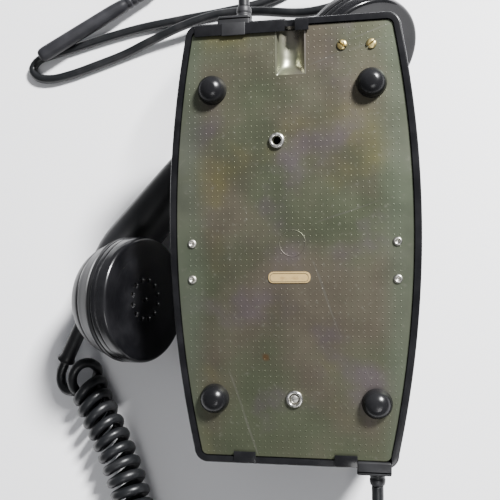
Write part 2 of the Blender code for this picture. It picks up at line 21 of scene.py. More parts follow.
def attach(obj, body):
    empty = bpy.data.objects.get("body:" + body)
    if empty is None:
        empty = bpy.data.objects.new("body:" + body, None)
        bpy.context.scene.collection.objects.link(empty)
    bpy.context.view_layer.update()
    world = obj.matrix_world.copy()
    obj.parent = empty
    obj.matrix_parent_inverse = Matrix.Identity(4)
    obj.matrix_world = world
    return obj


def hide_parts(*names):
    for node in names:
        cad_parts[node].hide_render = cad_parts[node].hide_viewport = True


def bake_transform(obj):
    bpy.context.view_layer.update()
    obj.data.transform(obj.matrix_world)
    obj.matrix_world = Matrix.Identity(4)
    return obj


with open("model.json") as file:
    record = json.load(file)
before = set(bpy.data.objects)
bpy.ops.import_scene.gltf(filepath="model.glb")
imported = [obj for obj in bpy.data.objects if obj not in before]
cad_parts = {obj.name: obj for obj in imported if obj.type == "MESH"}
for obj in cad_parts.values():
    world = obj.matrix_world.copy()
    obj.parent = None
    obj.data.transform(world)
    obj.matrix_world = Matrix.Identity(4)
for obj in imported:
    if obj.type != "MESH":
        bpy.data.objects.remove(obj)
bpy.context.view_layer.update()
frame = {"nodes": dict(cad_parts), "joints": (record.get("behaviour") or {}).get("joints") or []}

MM = 0.001
LOG = logging.getLogger("telephone")
Colour = tuple[float, float, float]


# ---------------------------------------------------------------- frames and curves


def shift(x: float, y: float, z: float) -> np.ndarray:
    """4 x 4 frame moved by (x, y, z) millimetres."""
    made = np.eye(4)
    made[:3, 3] = (x, y, z)
    return made


def turn(axis: str, angle: float) -> np.ndarray:
    """4 x 4 frame turned by an angle in radians about "X", "Y" or "Z"."""
    return np.array(Matrix.Rotation(angle, 4, axis))


def carry(points: np.ndarray, where: np.ndarray) -> np.ndarray:
    """Points of a local frame, in the model's frame, both in millimetres."""
    return points @ where[:3, :3].T + where[:3, 3]


def unit(vectors: np.ndarray) -> np.ndarray:
    """Vectors scaled to length one along the last axis."""
    return vectors / np.linalg.norm(vectors, axis=-1, keepdims=True)


def frame_from(origin: np.ndarray, along_z: np.ndarray, along_x: np.ndarray) -> np.ndarray:
    """Frame at a point with a given z axis and its x axis as near as can be to along_x.

    Args:
        origin: The frame's origin in millimetres.
        along_z: Direction of the z axis.
        along_x: Direction that the x axis leans to.

    Returns:
        The 4 x 4 frame.
    """
    z = unit(np.asarray(along_z, float))
    x = np.asarray(along_x, float)
    x = unit(x - z * (x @ z))
    made = np.eye(4)
    made[:3, 0], made[:3, 1], made[:3, 2], made[:3, 3] = x, np.cross(z, x), z, origin
    return made


def arc(centre: Sequence[float], radius: float, first: float, last: float, steps: int) -> np.ndarray:
    """Points of a circular arc from one angle to another, in degrees."""
    angles = np.radians(np.linspace(first, last, steps + 1))
    return np.column_stack([centre[0] + radius * np.cos(angles), centre[1] + radius * np.sin(angles)])


def rounded(corners: Sequence[Sequence[float]], radius: float, steps: int = 4) -> np.ndarray:
    """Open outline whose inner corners are replaced by parabolas that start `radius` before them.

    A corner p between a and b becomes (1-t)^2 a' + 2t(1-t) p + t^2 b', where a' and b' lie
    `radius` from p (or half an edge, if the edge is short) on the way to a and b.

    Args:
        corners: Outline points, 2 or 3 numbers each.
        radius: Distance from a corner at which its curve starts.
        steps: Pieces that each curve is cut into.

    Returns:
        The finer outline.
    """
    p = np.asarray(corners, float)
    before, after = p[:-2] - p[1:-1], p[2:] - p[1:-1]
    reach_b = np.minimum(radius, np.linalg.norm(before, axis=1) * 0.48)[:, None]
    reach_a = np.minimum(radius, np.linalg.norm(after, axis=1) * 0.48)[:, None]
    start, end = p[1:-1] + unit(before) * reach_b, p[1:-1] + unit(after) * reach_a
    t = np.linspace(0, 1, steps + 1)[None, :, None]
    curves = (1 - t) ** 2 * start[:, None] + 2 * t * (1 - t) * p[1:-1, None] + t ** 2 * end[:, None]
    return np.vstack([p[:1], curves.reshape(-1, p.shape[1]), p[-1:]])


def smooth_line(knots: Sequence[Sequence[float]], per_span: int = 16) -> np.ndarray:
    """Centripetal Catmull-Rom curve through knots, in any number of dimensions.

    Each span mixes three straight mixes of its four neighbouring knots twice over, with knot
    spacing the square root of the chord, so the curve passes every knot without overshooting.

    Args:
        knots: The points that the curve passes through.
        per_span: Points read from each span.

    Returns:
        The points of the curve.
    """
    p = np.asarray(knots, float)
    p = np.vstack([2 * p[0] - p[1], p, 2 * p[-1] - p[-2]])
    a, b, c, d = p[:-3, None], p[1:-2, None], p[2:-1, None], p[3:, None]
    t1 = np.sqrt(np.linalg.norm(b - a, axis=-1))
    t2 = t1 + np.sqrt(np.linalg.norm(c - b, axis=-1))
    t3 = t2 + np.sqrt(np.linalg.norm(d - c, axis=-1))
    t = (t1 + (t2 - t1) * np.linspace(0, 1, per_span, endpoint=False))[..., None]
    t1, t2, t3 = t1[..., None], t2[..., None], t3[..., None]
    ab, bc, cd = a + (b - a) * t / t1, b + (c - b) * (t - t1) / (t2 - t1), c + (d - c) * (t - t2) / (t3 - t2)
    abc, bcd = ab + (bc - ab) * t / t2, bc + (cd - bc) * (t - t1) / (t3 - t1)
    line = abc + (bcd - abc) * (t - t1) / (t2 - t1)
    return np.vstack([line.reshape(-1, p.shape[1]), p[-2:-1]])


def walked(line: np.ndarray) -> np.ndarray:
    """Distance along a line at each of its points."""
    return np.concatenate([[0.0], np.cumsum(np.linalg.norm(np.diff(line, axis=0), axis=1))])


def evenly(line: np.ndarray, step: float) -> np.ndarray:
    """A line's points read again about every `step` along it."""
    far = walked(line)
    at = np.linspace(0, far[-1], max(2, round(far[-1] / step)) + 1)
    return np.column_stack([np.interp(at, far, line[:, k]) for k in range(line.shape[1])])


# ---------------------------------------------------------------- placement


@dataclass(frozen=True)
class Placement:
    """Local frames of the telephone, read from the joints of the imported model.

    Attributes:
        body: x across the body, y towards its top end, z out of the base plate.
        front: Centre of the dial on the front face, z outwards, y towards the bottom end.
        handset: Mouth centre, x towards the ear end, z the way the caps face.
        mouth: Face of the mouth cap, z outwards.
        ear: Face of the ear cap, z outwards.
        table: Table top under the middle of the base plate, turned as the model is.
    """

    body: np.ndarray
    front: np.ndarray
    handset: np.ndarray
    mouth: np.ndarray
    ear: np.ndarray
    table: np.ndarray


DIAL_AXIS_HEIGHT = 6.0
CLAPPER_SPOT = (0.0, -59.0, -38.5)
HANDSET_HEADING = math.radians(48.8)
HANDSET_ROLL = math.radians(25.0)
EAR_X = 158.5
MOUTH_CANT = math.radians(35.0)
EAR_CANT = math.radians(-12.0)


def read_placement() -> Placement:
    """Work the local frames out from the joints' axes and points.

    Returns:
        The frames, in millimetres.
    """
    joints = {joint["name"]: joint for joint in frame["joints"]}
    across = np.array([1.0, 0.0, 0.0])
    dial_axis = -np.array(joints["dial_turn"]["axis"])
    dial_point = np.array(joints["dial_turn"]["pos_m"]) / MM
    front = frame_from(dial_point - DIAL_AXIS_HEIGHT * dial_axis, dial_axis, across)
    clapper_point = np.array(joints["clapper_swing"]["pos_m"]) / MM
    body = frame_from(clapper_point, joints["clapper_swing"]["axis"], across)
    body = body @ shift(*(-np.array(CLAPPER_SPOT)))
    ear_point = np.array(joints["handset_swing"]["pos_m"]) / MM
    facing = turn("Z", HANDSET_HEADING) @ turn("X", math.pi / 2 - HANDSET_ROLL)
    handset = shift(*ear_point) @ facing @ shift(-EAR_X, 0, 0)
    mouth = handset @ turn("Y", MOUTH_CANT)
    ear = handset @ shift(EAR_X, 0, 0) @ turn("Y", EAR_CANT)
    return Placement(body, front, handset, mouth, ear, shift(body[0, 3], body[1, 3], 0))


# ---------------------------------------------------------------- finishes


class Shader:
    """One node material while it is being put together."""

    def __init__(self, name: str) -> None:
        """Start a material with a Principled surface."""
        self.material = bpy.data.materials.new(name)
        self.material.use_nodes = True
        self.tree = self.material.node_tree
        self.surface = self.tree.nodes["Principled BSDF"]

    def node(self, kind: str, inputs: dict | None = None, **settings: object) -> bpy.types.Node:
        """Add a node.

        Args:
            kind: Node type without its ShaderNode prefix.
            inputs: Values or sockets by input name or number.
            settings: Plain attributes of the node.

        Returns:
            The node.
        """
        made = self.tree.nodes.new("ShaderNode" + kind)
        for key, value in settings.items():
            setattr(made, key, value)
        for key, value in (inputs or {}).items():
            if isinstance(value, bpy.types.NodeSocket):
                self.tree.links.new(value, made.inputs[key])
            else:
                made.inputs[key].default_value = value
        return made

    def coords(self, where: np.ndarray | None = None,
               stretch: Sequence[float] = (1, 1, 1)) -> bpy.types.NodeSocket:
        """Object coordinates, read in a local frame and divided by `stretch` on each axis."""
        place = Matrix((where if where is not None else np.eye(4)).tolist())
        raw = self.node("TexCoord").outputs["Object"]
        inputs = {"Vector": raw, "Location": place.translation * MM, "Rotation": place.to_euler(),
                  "Scale": stretch}
        return self.node("Mapping", inputs, vector_type="TEXTURE").outputs["Vector"]

    def noise(self, scale: float, vector: bpy.types.NodeSocket, detail: float = 3.0) -> bpy.types.NodeSocket:
        """Noise between 0 and 1 with `scale` cells to the metre."""
        return self.node("TexNoise", {"Vector": vector, "Scale": scale, "Detail": detail}).outputs["Fac"]

    def spread(self, value: bpy.types.NodeSocket, low: float, high: float,
               to: Sequence[float]) -> bpy.types.NodeSocket:
        """Value from low..high stretched smoothly onto to[0]..to[1], and held there beyond."""
        made = self.node("MapRange", {0: value, 1: low, 2: high, 3: to[0], 4: to[1]},
                         interpolation_type="SMOOTHSTEP")
        return made.outputs[0]

    def math(self, operation: str, first: object, second: object = 0.0) -> bpy.types.NodeSocket:
        """One sum of two values."""
        return self.node("Math", {0: first, 1: second}, operation=operation).outputs[0]

    def mix(self, first: object, second: object, share: object) -> bpy.types.NodeSocket:
        """Colour mixed from two colours or sockets by a share of the second."""
        pair = [(*c, 1.0) if isinstance(c, tuple) else c for c in (first, second)]
        made = self.node("Mix", {0: share, 6: pair[0], 7: pair[1]}, data_type="RGBA")
        return made.outputs[2]

    def relief(self, height: bpy.types.NodeSocket, depth: float, strength: float = 1.0) -> None:
        """Bump of the surface by a height from 0 to 1, `depth` millimetres deep."""
        made = self.node("Bump", {"Height": height, "Distance": depth * MM, "Strength": strength})
        self.feed("Normal", made.outputs["Normal"])

    def feed(self, name: str, value: object) -> None:
        """Give a socket of the surface a value or a link."""
        if isinstance(value, bpy.types.NodeSocket):
            self.tree.links.new(value, self.surface.inputs[name])
        else:
            self.surface.inputs[name].default_value = value


class Gloss(Enum):
    """How a moulded surface was left by its tool: grain depth in millimetres, and clear coat."""

    POLISHED = (0.006, 0.12)
    SATIN = (0.02, 0.0)
    RUBBERY = (0.03, 0.0)


@dataclass(frozen=True)
class Moulded:
    """Moulded plastic or rubber: faint mottling, rub marks that change the gloss, fine grain, dust."""

    name: str
    slot: str
    colour: Colour
    roughness: float
    gloss: Gloss = Gloss.SATIN
    dust: float = 0.04
    shine: float = 0.30

    def material(self) -> bpy.types.Material:
        """The material, made once for each name."""
        if self.name in bpy.data.materials:
            return bpy.data.materials[self.name]
        shader = Shader(self.name)
        grain, coat = self.gloss.value
        where = shader.coords()
        mottle = shader.noise(90.0, where, 4.0)
        rubbed = shader.noise(35.0, shader.coords(stretch=(1, 4, 1)), 6.0)
        specks = shader.spread(shader.noise(2600.0, where, 1.0), 0.72, 0.80, (0.0, 1.0))
        patches = shader.spread(shader.noise(60.0, where, 2.0), 0.45, 0.7, (0.0, self.dust))
        dusty = shader.math("MULTIPLY", specks, patches)
        lighter = tuple(c * 1.5 + 0.003 for c in self.colour)
        body = shader.mix(self.colour, lighter, shader.spread(mottle, 0.35, 0.7, (0.0, 1.0)))
        shader.feed("Base Color", shader.mix(body, (0.35, 0.34, 0.32), dusty))
        gloss = (self.roughness - 0.04, self.roughness + 0.1)
        shader.feed("Roughness", shader.spread(rubbed, 0.35, 0.75, gloss))
        shader.feed("Specular IOR Level", self.shine)
        shader.relief(shader.noise(1800.0, where, 3.0), grain, 0.5)
        if coat:
            shader.feed("Coat Weight", coat)
            shader.feed("Coat Roughness", 0.08)
        return shader.material


@dataclass(frozen=True)
class Metal:
    """Bare or plated metal: drawn lines one way, cloudy tarnish and small pits."""

    name: str
    slot: str
    colour: Colour
    tarnish: Colour
    roughness: float
    drawn: tuple[float, float, float] = (1.0, 30.0, 1.0)

    def material(self) -> bpy.types.Material:
        """The material, made once for each name."""
        if self.name in bpy.data.materials:
            return bpy.data.materials[self.name]
        shader = Shader(self.name)
        where = shader.coords()
        cloud = shader.spread(shader.noise(220.0, where, 5.0), 0.4, 0.72, (0.0, 0.8))
        lines = shader.noise(900.0, shader.coords(stretch=self.drawn), 3.0)
        shader.feed("Base Color", shader.mix(self.colour, self.tarnish, cloud))
        shader.feed("Metallic", 1.0)
        gloss = (self.roughness - 0.07, self.roughness + 0.12)
        shader.feed("Roughness", shader.spread(lines, 0.3, 0.7, gloss))
        shader.relief(lines, 0.01, 0.5)
        return shader.material


@dataclass(frozen=True)
class Chromated:
    """Zinc plate with a yellow chromate film: olive ground with green, pink and straw clouds.

    The film is greener towards the long edges, wiped in long faint
    scratches, and has one small rust spot and one upright scuff.
    """

    name: str
    slot: str
    where: np.ndarray
    green: Colour = (0.066, 0.074, 0.046)
    brown: Colour = (0.086, 0.074, 0.055)
    straw: Colour = (0.115, 0.105, 0.045)
    mauve: Colour = (0.088, 0.070, 0.080)
    edge: Colour = (0.086, 0.102, 0.072)
    rust: Colour = (0.085, 0.045, 0.018)
    rust_spot: tuple[float, float, float] = (-12.0, -48.5, 0.0)
    half_width: float = 43.0
    gloss: tuple[float, float] = (0.42, 0.56)

    def material(self) -> bpy.types.Material:
        """The material, made once for each name."""
        if self.name in bpy.data.materials:
            return bpy.data.materials[self.name]
        shader = Shader(self.name)
        place = shader.coords(self.where)
        axes = shader.node("SeparateXYZ", {0: place})
        clouds = shader.spread(shader.noise(17.0, place, 4.0), 0.38, 0.62, (0.0, 1.0))
        film = shader.mix(self.green, self.brown, clouds)
        warm = shader.noise(23.0, shader.coords(self.where @ shift(70, 20, 0)), 3.0)
        film = shader.mix(film, self.straw, shader.spread(warm, 0.54, 0.74, (0.0, 0.75)))
        cool = shader.noise(31.0, shader.coords(self.where @ shift(-90, 55, 0)), 4.0)
        film = shader.mix(film, self.mauve, shader.spread(cool, 0.52, 0.72, (0.0, 0.7)))
        side = shader.spread(shader.math("ABSOLUTE", axes.outputs[0]), (self.half_width - 9) * MM,
                             (self.half_width + 2) * MM, (0.0, 0.7))
        film = shader.mix(film, self.edge, side)
        blotch = shader.noise(420.0, place, 5.0)
        film = shader.mix(film, (0.16, 0.16, 0.13), shader.spread(blotch, 0.58, 0.78, (0.0, 0.4)))
        along = shader.noise(260.0, shader.coords(self.where @ turn("Z", 0.35), (1, 26, 1)), 2.0)
        across = shader.noise(300.0, shader.coords(self.where @ turn("Z", 1.9), (1, 30, 1)), 2.0)
        scratch = shader.math("MAXIMUM", shader.spread(along, 0.69, 0.74, (0.0, 1.0)),
                              shader.spread(across, 0.70, 0.75, (0.0, 1.0)))
        film = shader.mix(film, (0.24, 0.23, 0.20), shader.math("MULTIPLY", scratch, 0.25))
        spot = tuple(c * MM for c in self.rust_spot)
        away = shader.node("VectorMath", {0: place, 1: spot}, operation="DISTANCE").outputs["Value"]
        ragged = shader.math("ADD", away, shader.math("MULTIPLY", blotch, 0.0018))
        film = shader.mix(film, self.rust, shader.spread(ragged, 0.0015, 0.0032, (0.8, 0.0)))
        shader.feed("Base Color", film)
        shader.feed("Metallic", 0.8)
        rough = shader.spread(shader.noise(45.0, place, 6.0), 0.3, 0.7, self.gloss)
        shader.feed("Roughness", shader.math("SUBTRACT", rough, shader.math("MULTIPLY", scratch, 0.1)))
        shader.relief(shader.math("SUBTRACT", shader.math("MULTIPLY", blotch, 0.5), scratch), 0.02, 0.45)
        return shader.material


@dataclass(frozen=True)
class CordSkin:
    """Soft cord jacket: dark grey, satin, with extrusion lines along it and rubbed lighter patches."""

    name: str
    slot: str
    colour: Colour = (0.006, 0.0065, 0.0075)
    worn: Colour = (0.016, 0.016, 0.017)
    roughness: float = 0.34

    def material(self) -> bpy.types.Material:
        """The material, made once for each name."""
        if self.name in bpy.data.materials:
            return bpy.data.materials[self.name]
        shader = Shader(self.name)
        where = shader.coords()
        layout = shader.node("UVMap", uv_map="along").outputs["UV"]
        stretched = shader.node("Mapping", {"Vector": layout, "Scale": (6.0, 90.0, 1.0)}).outputs["Vector"]
        lines = shader.noise(1.0, stretched, 3.0)
        rubbed = shader.spread(shader.noise(120.0, where, 4.0), 0.45, 0.75, (0.0, 0.75))
        shader.feed("Base Color", shader.mix(self.colour, self.worn, rubbed))
        gloss = (self.roughness - 0.05, self.roughness + 0.12)
        shader.feed("Roughness", shader.spread(lines, 0.3, 0.7, gloss))
        shader.relief(lines, 0.03, 0.5)
        shader.feed("Specular IOR Level", 0.32)
        return shader.material


@dataclass(frozen=True)
class Card:
    """Lacquered paper or board: fibre mottling, darker handling marks, almost no gloss."""

    name: str
    slot: str
    colour: Colour
    stain: Colour
    roughness: float = 0.62

    def material(self) -> bpy.types.Material:
        """The material, made once for each name."""
        if self.name in bpy.data.materials:
            return bpy.data.materials[self.name]
        shader = Shader(self.name)
        where = shader.coords()
        fibre = shader.noise(1400.0, shader.coords(stretch=(3, 1, 1)), 4.0)
        marks = shader.spread(shader.noise(330.0, where, 5.0), 0.5, 0.75, (0.0, 0.8))
        paper = shader.mix(self.colour, tuple(c * 0.8 for c in self.colour), fibre)
        shader.feed("Base Color", shader.mix(paper, self.stain, marks))
        gloss = (self.roughness - 0.06, self.roughness + 0.08)
        shader.feed("Roughness", shader.spread(fibre, 0.3, 0.7, gloss))
        shader.relief(fibre, 0.02, 0.5)
        return shader.material


@dataclass(frozen=True)
class Wound:
    """Coil of enamelled wire or a laminated core: fine even ridges across the piece."""

    name: str
    slot: str
    colour: Colour
    gap: Colour
    ridges: float = 2600.0

    def material(self) -> bpy.types.Material:
        """The material, made once for each name."""
        if self.name in bpy.data.materials:
            return bpy.data.materials[self.name]
        shader = Shader(self.name)
        inputs = {"Vector": shader.coords(), "Scale": self.ridges / 2, "Distortion": 0.4}
        wave = shader.node("TexWave", inputs, bands_direction="Y").outputs["Fac"]
        shader.feed("Base Color", shader.mix(self.gap, self.colour, wave))
        shader.feed("Metallic", 0.6)
        shader.feed("Roughness", shader.spread(wave, 0.0, 1.0, (0.6, 0.33)))
        shader.relief(wave, 0.1, 0.8)
        return shader.material


Finish = Moulded | Metal | Chromated | CordSkin | Card | Wound

SHELL = Moulded("black_shell_gloss", "black_shell", (0.0035, 0.0035, 0.0042), 0.22, Gloss.POLISHED, 0.05)
HANDLE = Moulded("black_shell_satin", "black_shell", (0.0035, 0.0035, 0.0042), 0.40, Gloss.SATIN, 0.08, 0.45)
FOOT = Moulded("foot_rubber", "rubber", (0.0045, 0.0045, 0.0052), 0.27, Gloss.RUBBERY, 0.06)
GROMMET = Moulded("grommet_rubber", "rubber", (0.010, 0.010, 0.011), 0.42, Gloss.RUBBERY, 0.08)
BOOT = Moulded("plug_boot_rubber", "rubber", (0.012, 0.012, 0.014), 0.44, Gloss.RUBBERY, 0.04, 0.2)
IVORY = Moulded("ivory_moulding", "ivory_plastic", (0.72, 0.69, 0.58), 0.36, Gloss.SATIN, 0.02)
INK = Moulded("dial_ink", "black_shell", (0.012, 0.012, 0.012), 0.5, Gloss.SATIN, 0.0)
STEEL = Metal("bright_steel_turned", "bright_steel", (0.66, 0.65, 0.62), (0.42, 0.40, 0.36), 0.26)
DULL_STEEL = Metal("stamped_steel", "bright_steel", (0.52, 0.51, 0.47), (0.34, 0.32, 0.27), 0.36)
BRASS = Metal("screw_brass", "brass", (0.60, 0.49, 0.21), (0.33, 0.25, 0.10), 0.32)
LABEL = Card("blank_label_card", "label", (0.38, 0.26, 0.10), (0.22, 0.14, 0.05))
BOARD = Card("pressed_board", "board", (0.30, 0.19, 0.08), (0.17, 0.10, 0.04), 0.5)
WINDING = Wound("coil_winding", "winding", (0.62, 0.30, 0.13), (0.10, 0.04, 0.02))
CORD_SKIN = CordSkin("cord_jacket", "cord_skin")


# ---------------------------------------------------------------- meshes


def grid_faces(rows: int, columns: int, wrap_rows: bool, wrap_columns: bool) -> np.ndarray:
    """Four-cornered faces between neighbouring rows and columns of a grid of points.

    Args:
        rows: Rows of the grid.
        columns: Columns of the grid.
        wrap_rows: Whether the last row joins the first.
        wrap_columns: Whether the last column joins the first.

    Returns:
        Vertex numbers, four to a face.
    """
    r = np.arange(rows if wrap_rows else rows - 1)[:, None]
    c = np.arange(columns if wrap_columns else columns - 1)[None, :]
    next_r, next_c = (r + 1) % rows, (c + 1) % columns
    corners = (r * columns + c, r * columns + next_c, next_r * columns + next_c, next_r * columns + c)
    return np.stack(corners, axis=-1).reshape(-1, 4)


def mesh_piece(name: str, points: np.ndarray, faces: list, where: np.ndarray) -> bpy.types.Object:
    """Mesh object at the origin, its doubles merged and its faces turned outwards.

    Args:
        name: Name of the piece.
        points: Points in millimetres in a local frame.
        faces: Vertex numbers of each face.
        where: The local frame.

    Returns:
        The object.
    """
    mesh = bpy.data.meshes.new(name)
    mesh.from_pydata((carry(points.reshape(-1, 3), where) * MM).tolist(), [], faces)
    work = bmesh.new()
    work.from_mesh(mesh)
    bmesh.ops.remove_doubles(work, verts=work.verts, dist=2e-7)
    bmesh.ops.recalc_face_normals(work, faces=work.faces)
    work.to_mesh(mesh)
    work.free()
    made = bpy.data.objects.new(name, mesh)
    bpy.context.scene.collection.objects.link(made)
    return made


def loft(name: str, rings: np.ndarray, where: np.ndarray) -> bpy.types.Object:
    """Closed solid through equal rings of points, each end closed with one flat face."""
    rows, columns = rings.shape[:2]
    faces = grid_faces(rows, columns, False, True).tolist()
    faces += [list(range(columns))[::-1], list(range((rows - 1) * columns, rows * columns))]
    return mesh_piece(name, rings, faces, where)


def lathe(name: str, profile: Sequence | np.ndarray, where: np.ndarray, sides: int = 64,
          ring: bool = False) -> bpy.types.Object:
    """Solid of revolution: point (r, z) at angle a becomes (r cos a, r sin a, z).

    Args:
        name: Name of the piece.
        profile: Points (radius, height); it starts and ends on the axis unless it is a ring's.
        where: Local frame whose z is the axis.
        sides: Points around.
        ring: Whether the profile is the closed cross-section of a ring.

    Returns:
        The object.
    """
    section = np.asarray(profile, float)
    angles = np.linspace(0, 2 * math.pi, sides, endpoint=False)
    radius, height = section[:, :1], section[:, 1:]
    points = np.stack([radius * np.cos(angles), radius * np.sin(angles), height + 0 * angles], axis=-1)
    faces = grid_faces(len(section), sides, ring, True)
    return mesh_piece(name, points, faces.tolist(), where)


def tube_rings(path: np.ndarray, radii: np.ndarray | float, lean: np.ndarray, sides: int) -> np.ndarray:
    """Rings of a round tube: centre + r (cos a n + sin a b), n and b square to the path.

    Args:
        path: Centre points.
        radii: One radius, or one for each point.
        lean: Direction, or one for each point, that n is square to; never along the path.
        sides: Points around.

    Returns:
        Grid of points, one ring to a row.
    """
    ahead = unit(np.gradient(path, axis=0))
    n = unit(np.cross(ahead, np.broadcast_to(lean, path.shape)))
    b = np.cross(ahead, n)
    angles = np.linspace(0, 2 * math.pi, sides, endpoint=False)
    size = np.broadcast_to(radii, len(path))[:, None, None]
    ring = np.cos(angles)[None, :, None] * n[:, None] + np.sin(angles)[None, :, None] * b[:, None]
    return path[:, None] + size * ring


def tube(name: str, path: np.ndarray, radii: np.ndarray | float, lean: Sequence[float] | np.ndarray,
         where: np.ndarray, sides: int = 16) -> bpy.types.Object:
    """Round tube along a path, closed with a low dome at each end."""
    ahead = unit(np.gradient(path, axis=0))
    size = np.broadcast_to(radii, len(path)).astype(float)
    dome = np.array([0.72, 0.94])
    proud = 0.3
    start = path[0] - ahead[0] * proud * size[0] * np.array([[1.0], [0.62], [0.22]])
    end = path[-1] + ahead[-1] * proud * size[-1] * np.array([[0.22], [0.62], [1.0]])
    full = np.vstack([start, path, end])
    full_radii = np.concatenate([[1e-4], size[0] * dome, size, size[-1] * dome[::-1], [1e-4]])
    leans = np.broadcast_to(np.asarray(lean, float), path.shape)
    full_lean = np.vstack([leans[:1]] * 3 + [leans] + [leans[-1:]] * 3)
    rings = tube_rings(full, full_radii, full_lean, sides)
    return mesh_piece(name, rings, grid_faces(len(full), sides, False, True).tolist(), where)


def unwrap_along(piece: bpy.types.Object, path: np.ndarray, where: np.ndarray) -> None:
    """UV map "along": u is the distance along a path in centimetres, v the angle round it.

    Each vertex takes the place of its nearest path point, found block by block.

    Args:
        piece: A tube at the origin.
        path: Its centre line in the local frame, in millimetres.
        where: The local frame.
    """
    mesh = piece.data
    points = np.empty(len(mesh.vertices) * 3)
    mesh.vertices.foreach_get("co", points)
    points = points.reshape(-1, 3) / MM
    line = carry(path, where)
    far = walked(line) / 10
    nearest = np.concatenate([
        np.argmin(((block[:, None] - line[None]) ** 2).sum(-1), axis=1)
        for block in np.array_split(points, max(1, len(points) // 2000))])
    out = points - line[nearest]
    height = np.arctan2(out[:, 2], np.hypot(out[:, 0], out[:, 1])) / math.pi
    corners = np.empty(len(mesh.loops), np.int32)
    mesh.loops.foreach_get("vertex_index", corners)
    layout = mesh.uv_layers.new(name="along")
    layout.data.foreach_set("uv", np.column_stack([far[nearest], height])[corners].astype(np.float32).ravel())


def box_rings(size: Sequence[float], centre: Sequence[float], soft: float) -> np.ndarray:
    """Rings of a block whose upright edges and rims are rounded by `soft` millimetres."""
    half = np.asarray(size, float) / 2
    turns = np.radians(np.linspace(0, 90, 5))
    corner = np.column_stack([np.cos(turns), np.sin(turns)])
    flips = ((1, 1, 0), (-1, 1, 1), (-1, -1, 0), (1, -1, 1))
    heights = [(-half[2] + soft * (1 - math.sin(t)), soft * (1 - math.cos(t)))
               for t in np.radians((90, 60, 30, 0))]
    heights += [(-z, back) for z, back in heights[::-1]]
    rings = []
    for z, back in heights:
        flat = []
        for sx, sy, swap in flips:
            curve = corner[::-1] if swap else corner
            inner = half[:2] - soft
            flat.append((inner + (soft - back) * curve) * (sx, sy))
        ring = np.vstack(flat)
        rings.append(np.column_stack([ring, np.full(len(ring), z)]) + centre)
    return np.array(rings)


def block(name: str, size: Sequence[float], centre: Sequence[float], where: np.ndarray,
          soft: float = 0.3) -> bpy.types.Object:
    """Block with rounded edges."""
    return loft(name, box_rings(size, centre, soft), where)


def cut(target: bpy.types.Object, tool: bpy.types.Object, operation: str = "DIFFERENCE") -> None:
    """Take a tool's shape from a piece, or join it to the piece, when the piece is settled."""
    step = target.modifiers.new(tool.name, "BOOLEAN")
    step.operation = operation
    step.solver = "EXACT"
    step.object = tool


def settle(piece: bpy.types.Object) -> bpy.types.Object:
    """Make a piece's modifiers part of its mesh and remove the tools that they used."""
    tools = {step.object for step in piece.modifiers if step.type == "BOOLEAN"}
    bpy.context.view_layer.update()
    ready = piece.evaluated_get(bpy.context.evaluated_depsgraph_get())
    mesh = bpy.data.meshes.new_from_object(ready)
    piece.modifiers.clear()
    piece.data = mesh
    for tool in tools:
        bpy.data.objects.remove(tool)
    return piece


def dress(piece: bpy.types.Object, finish: Finish, body: str | None, stands_for: Sequence[str] = (),
          sharp: float = 35.0) -> bpy.types.Object:
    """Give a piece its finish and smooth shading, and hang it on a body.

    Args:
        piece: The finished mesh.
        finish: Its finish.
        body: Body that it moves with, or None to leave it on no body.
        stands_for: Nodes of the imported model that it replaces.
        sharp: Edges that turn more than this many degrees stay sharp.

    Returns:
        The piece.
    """
    mesh = piece.data
    mesh.materials.clear()
    mesh.materials.append(finish.material())
    mesh.shade_smooth()
    mesh.set_sharp_from_angle(angle=math.radians(sharp))
    if stands_for:
        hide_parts(*stands_for)
    if body:
        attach(piece, body)
    LOG.info("%s: %d points on %s", piece.name, len(mesh.vertices), body)
    return piece


def refinish(finish: Finish, *nodes: str) -> None:
    """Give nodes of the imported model, which keep their shape, a finish."""
    for name in nodes:
        frame["nodes"][name].material_slots[0].material = finish.material()
        LOG.info("%s: kept, %s", name, finish.name)


# ---------------------------------------------------------------- studio


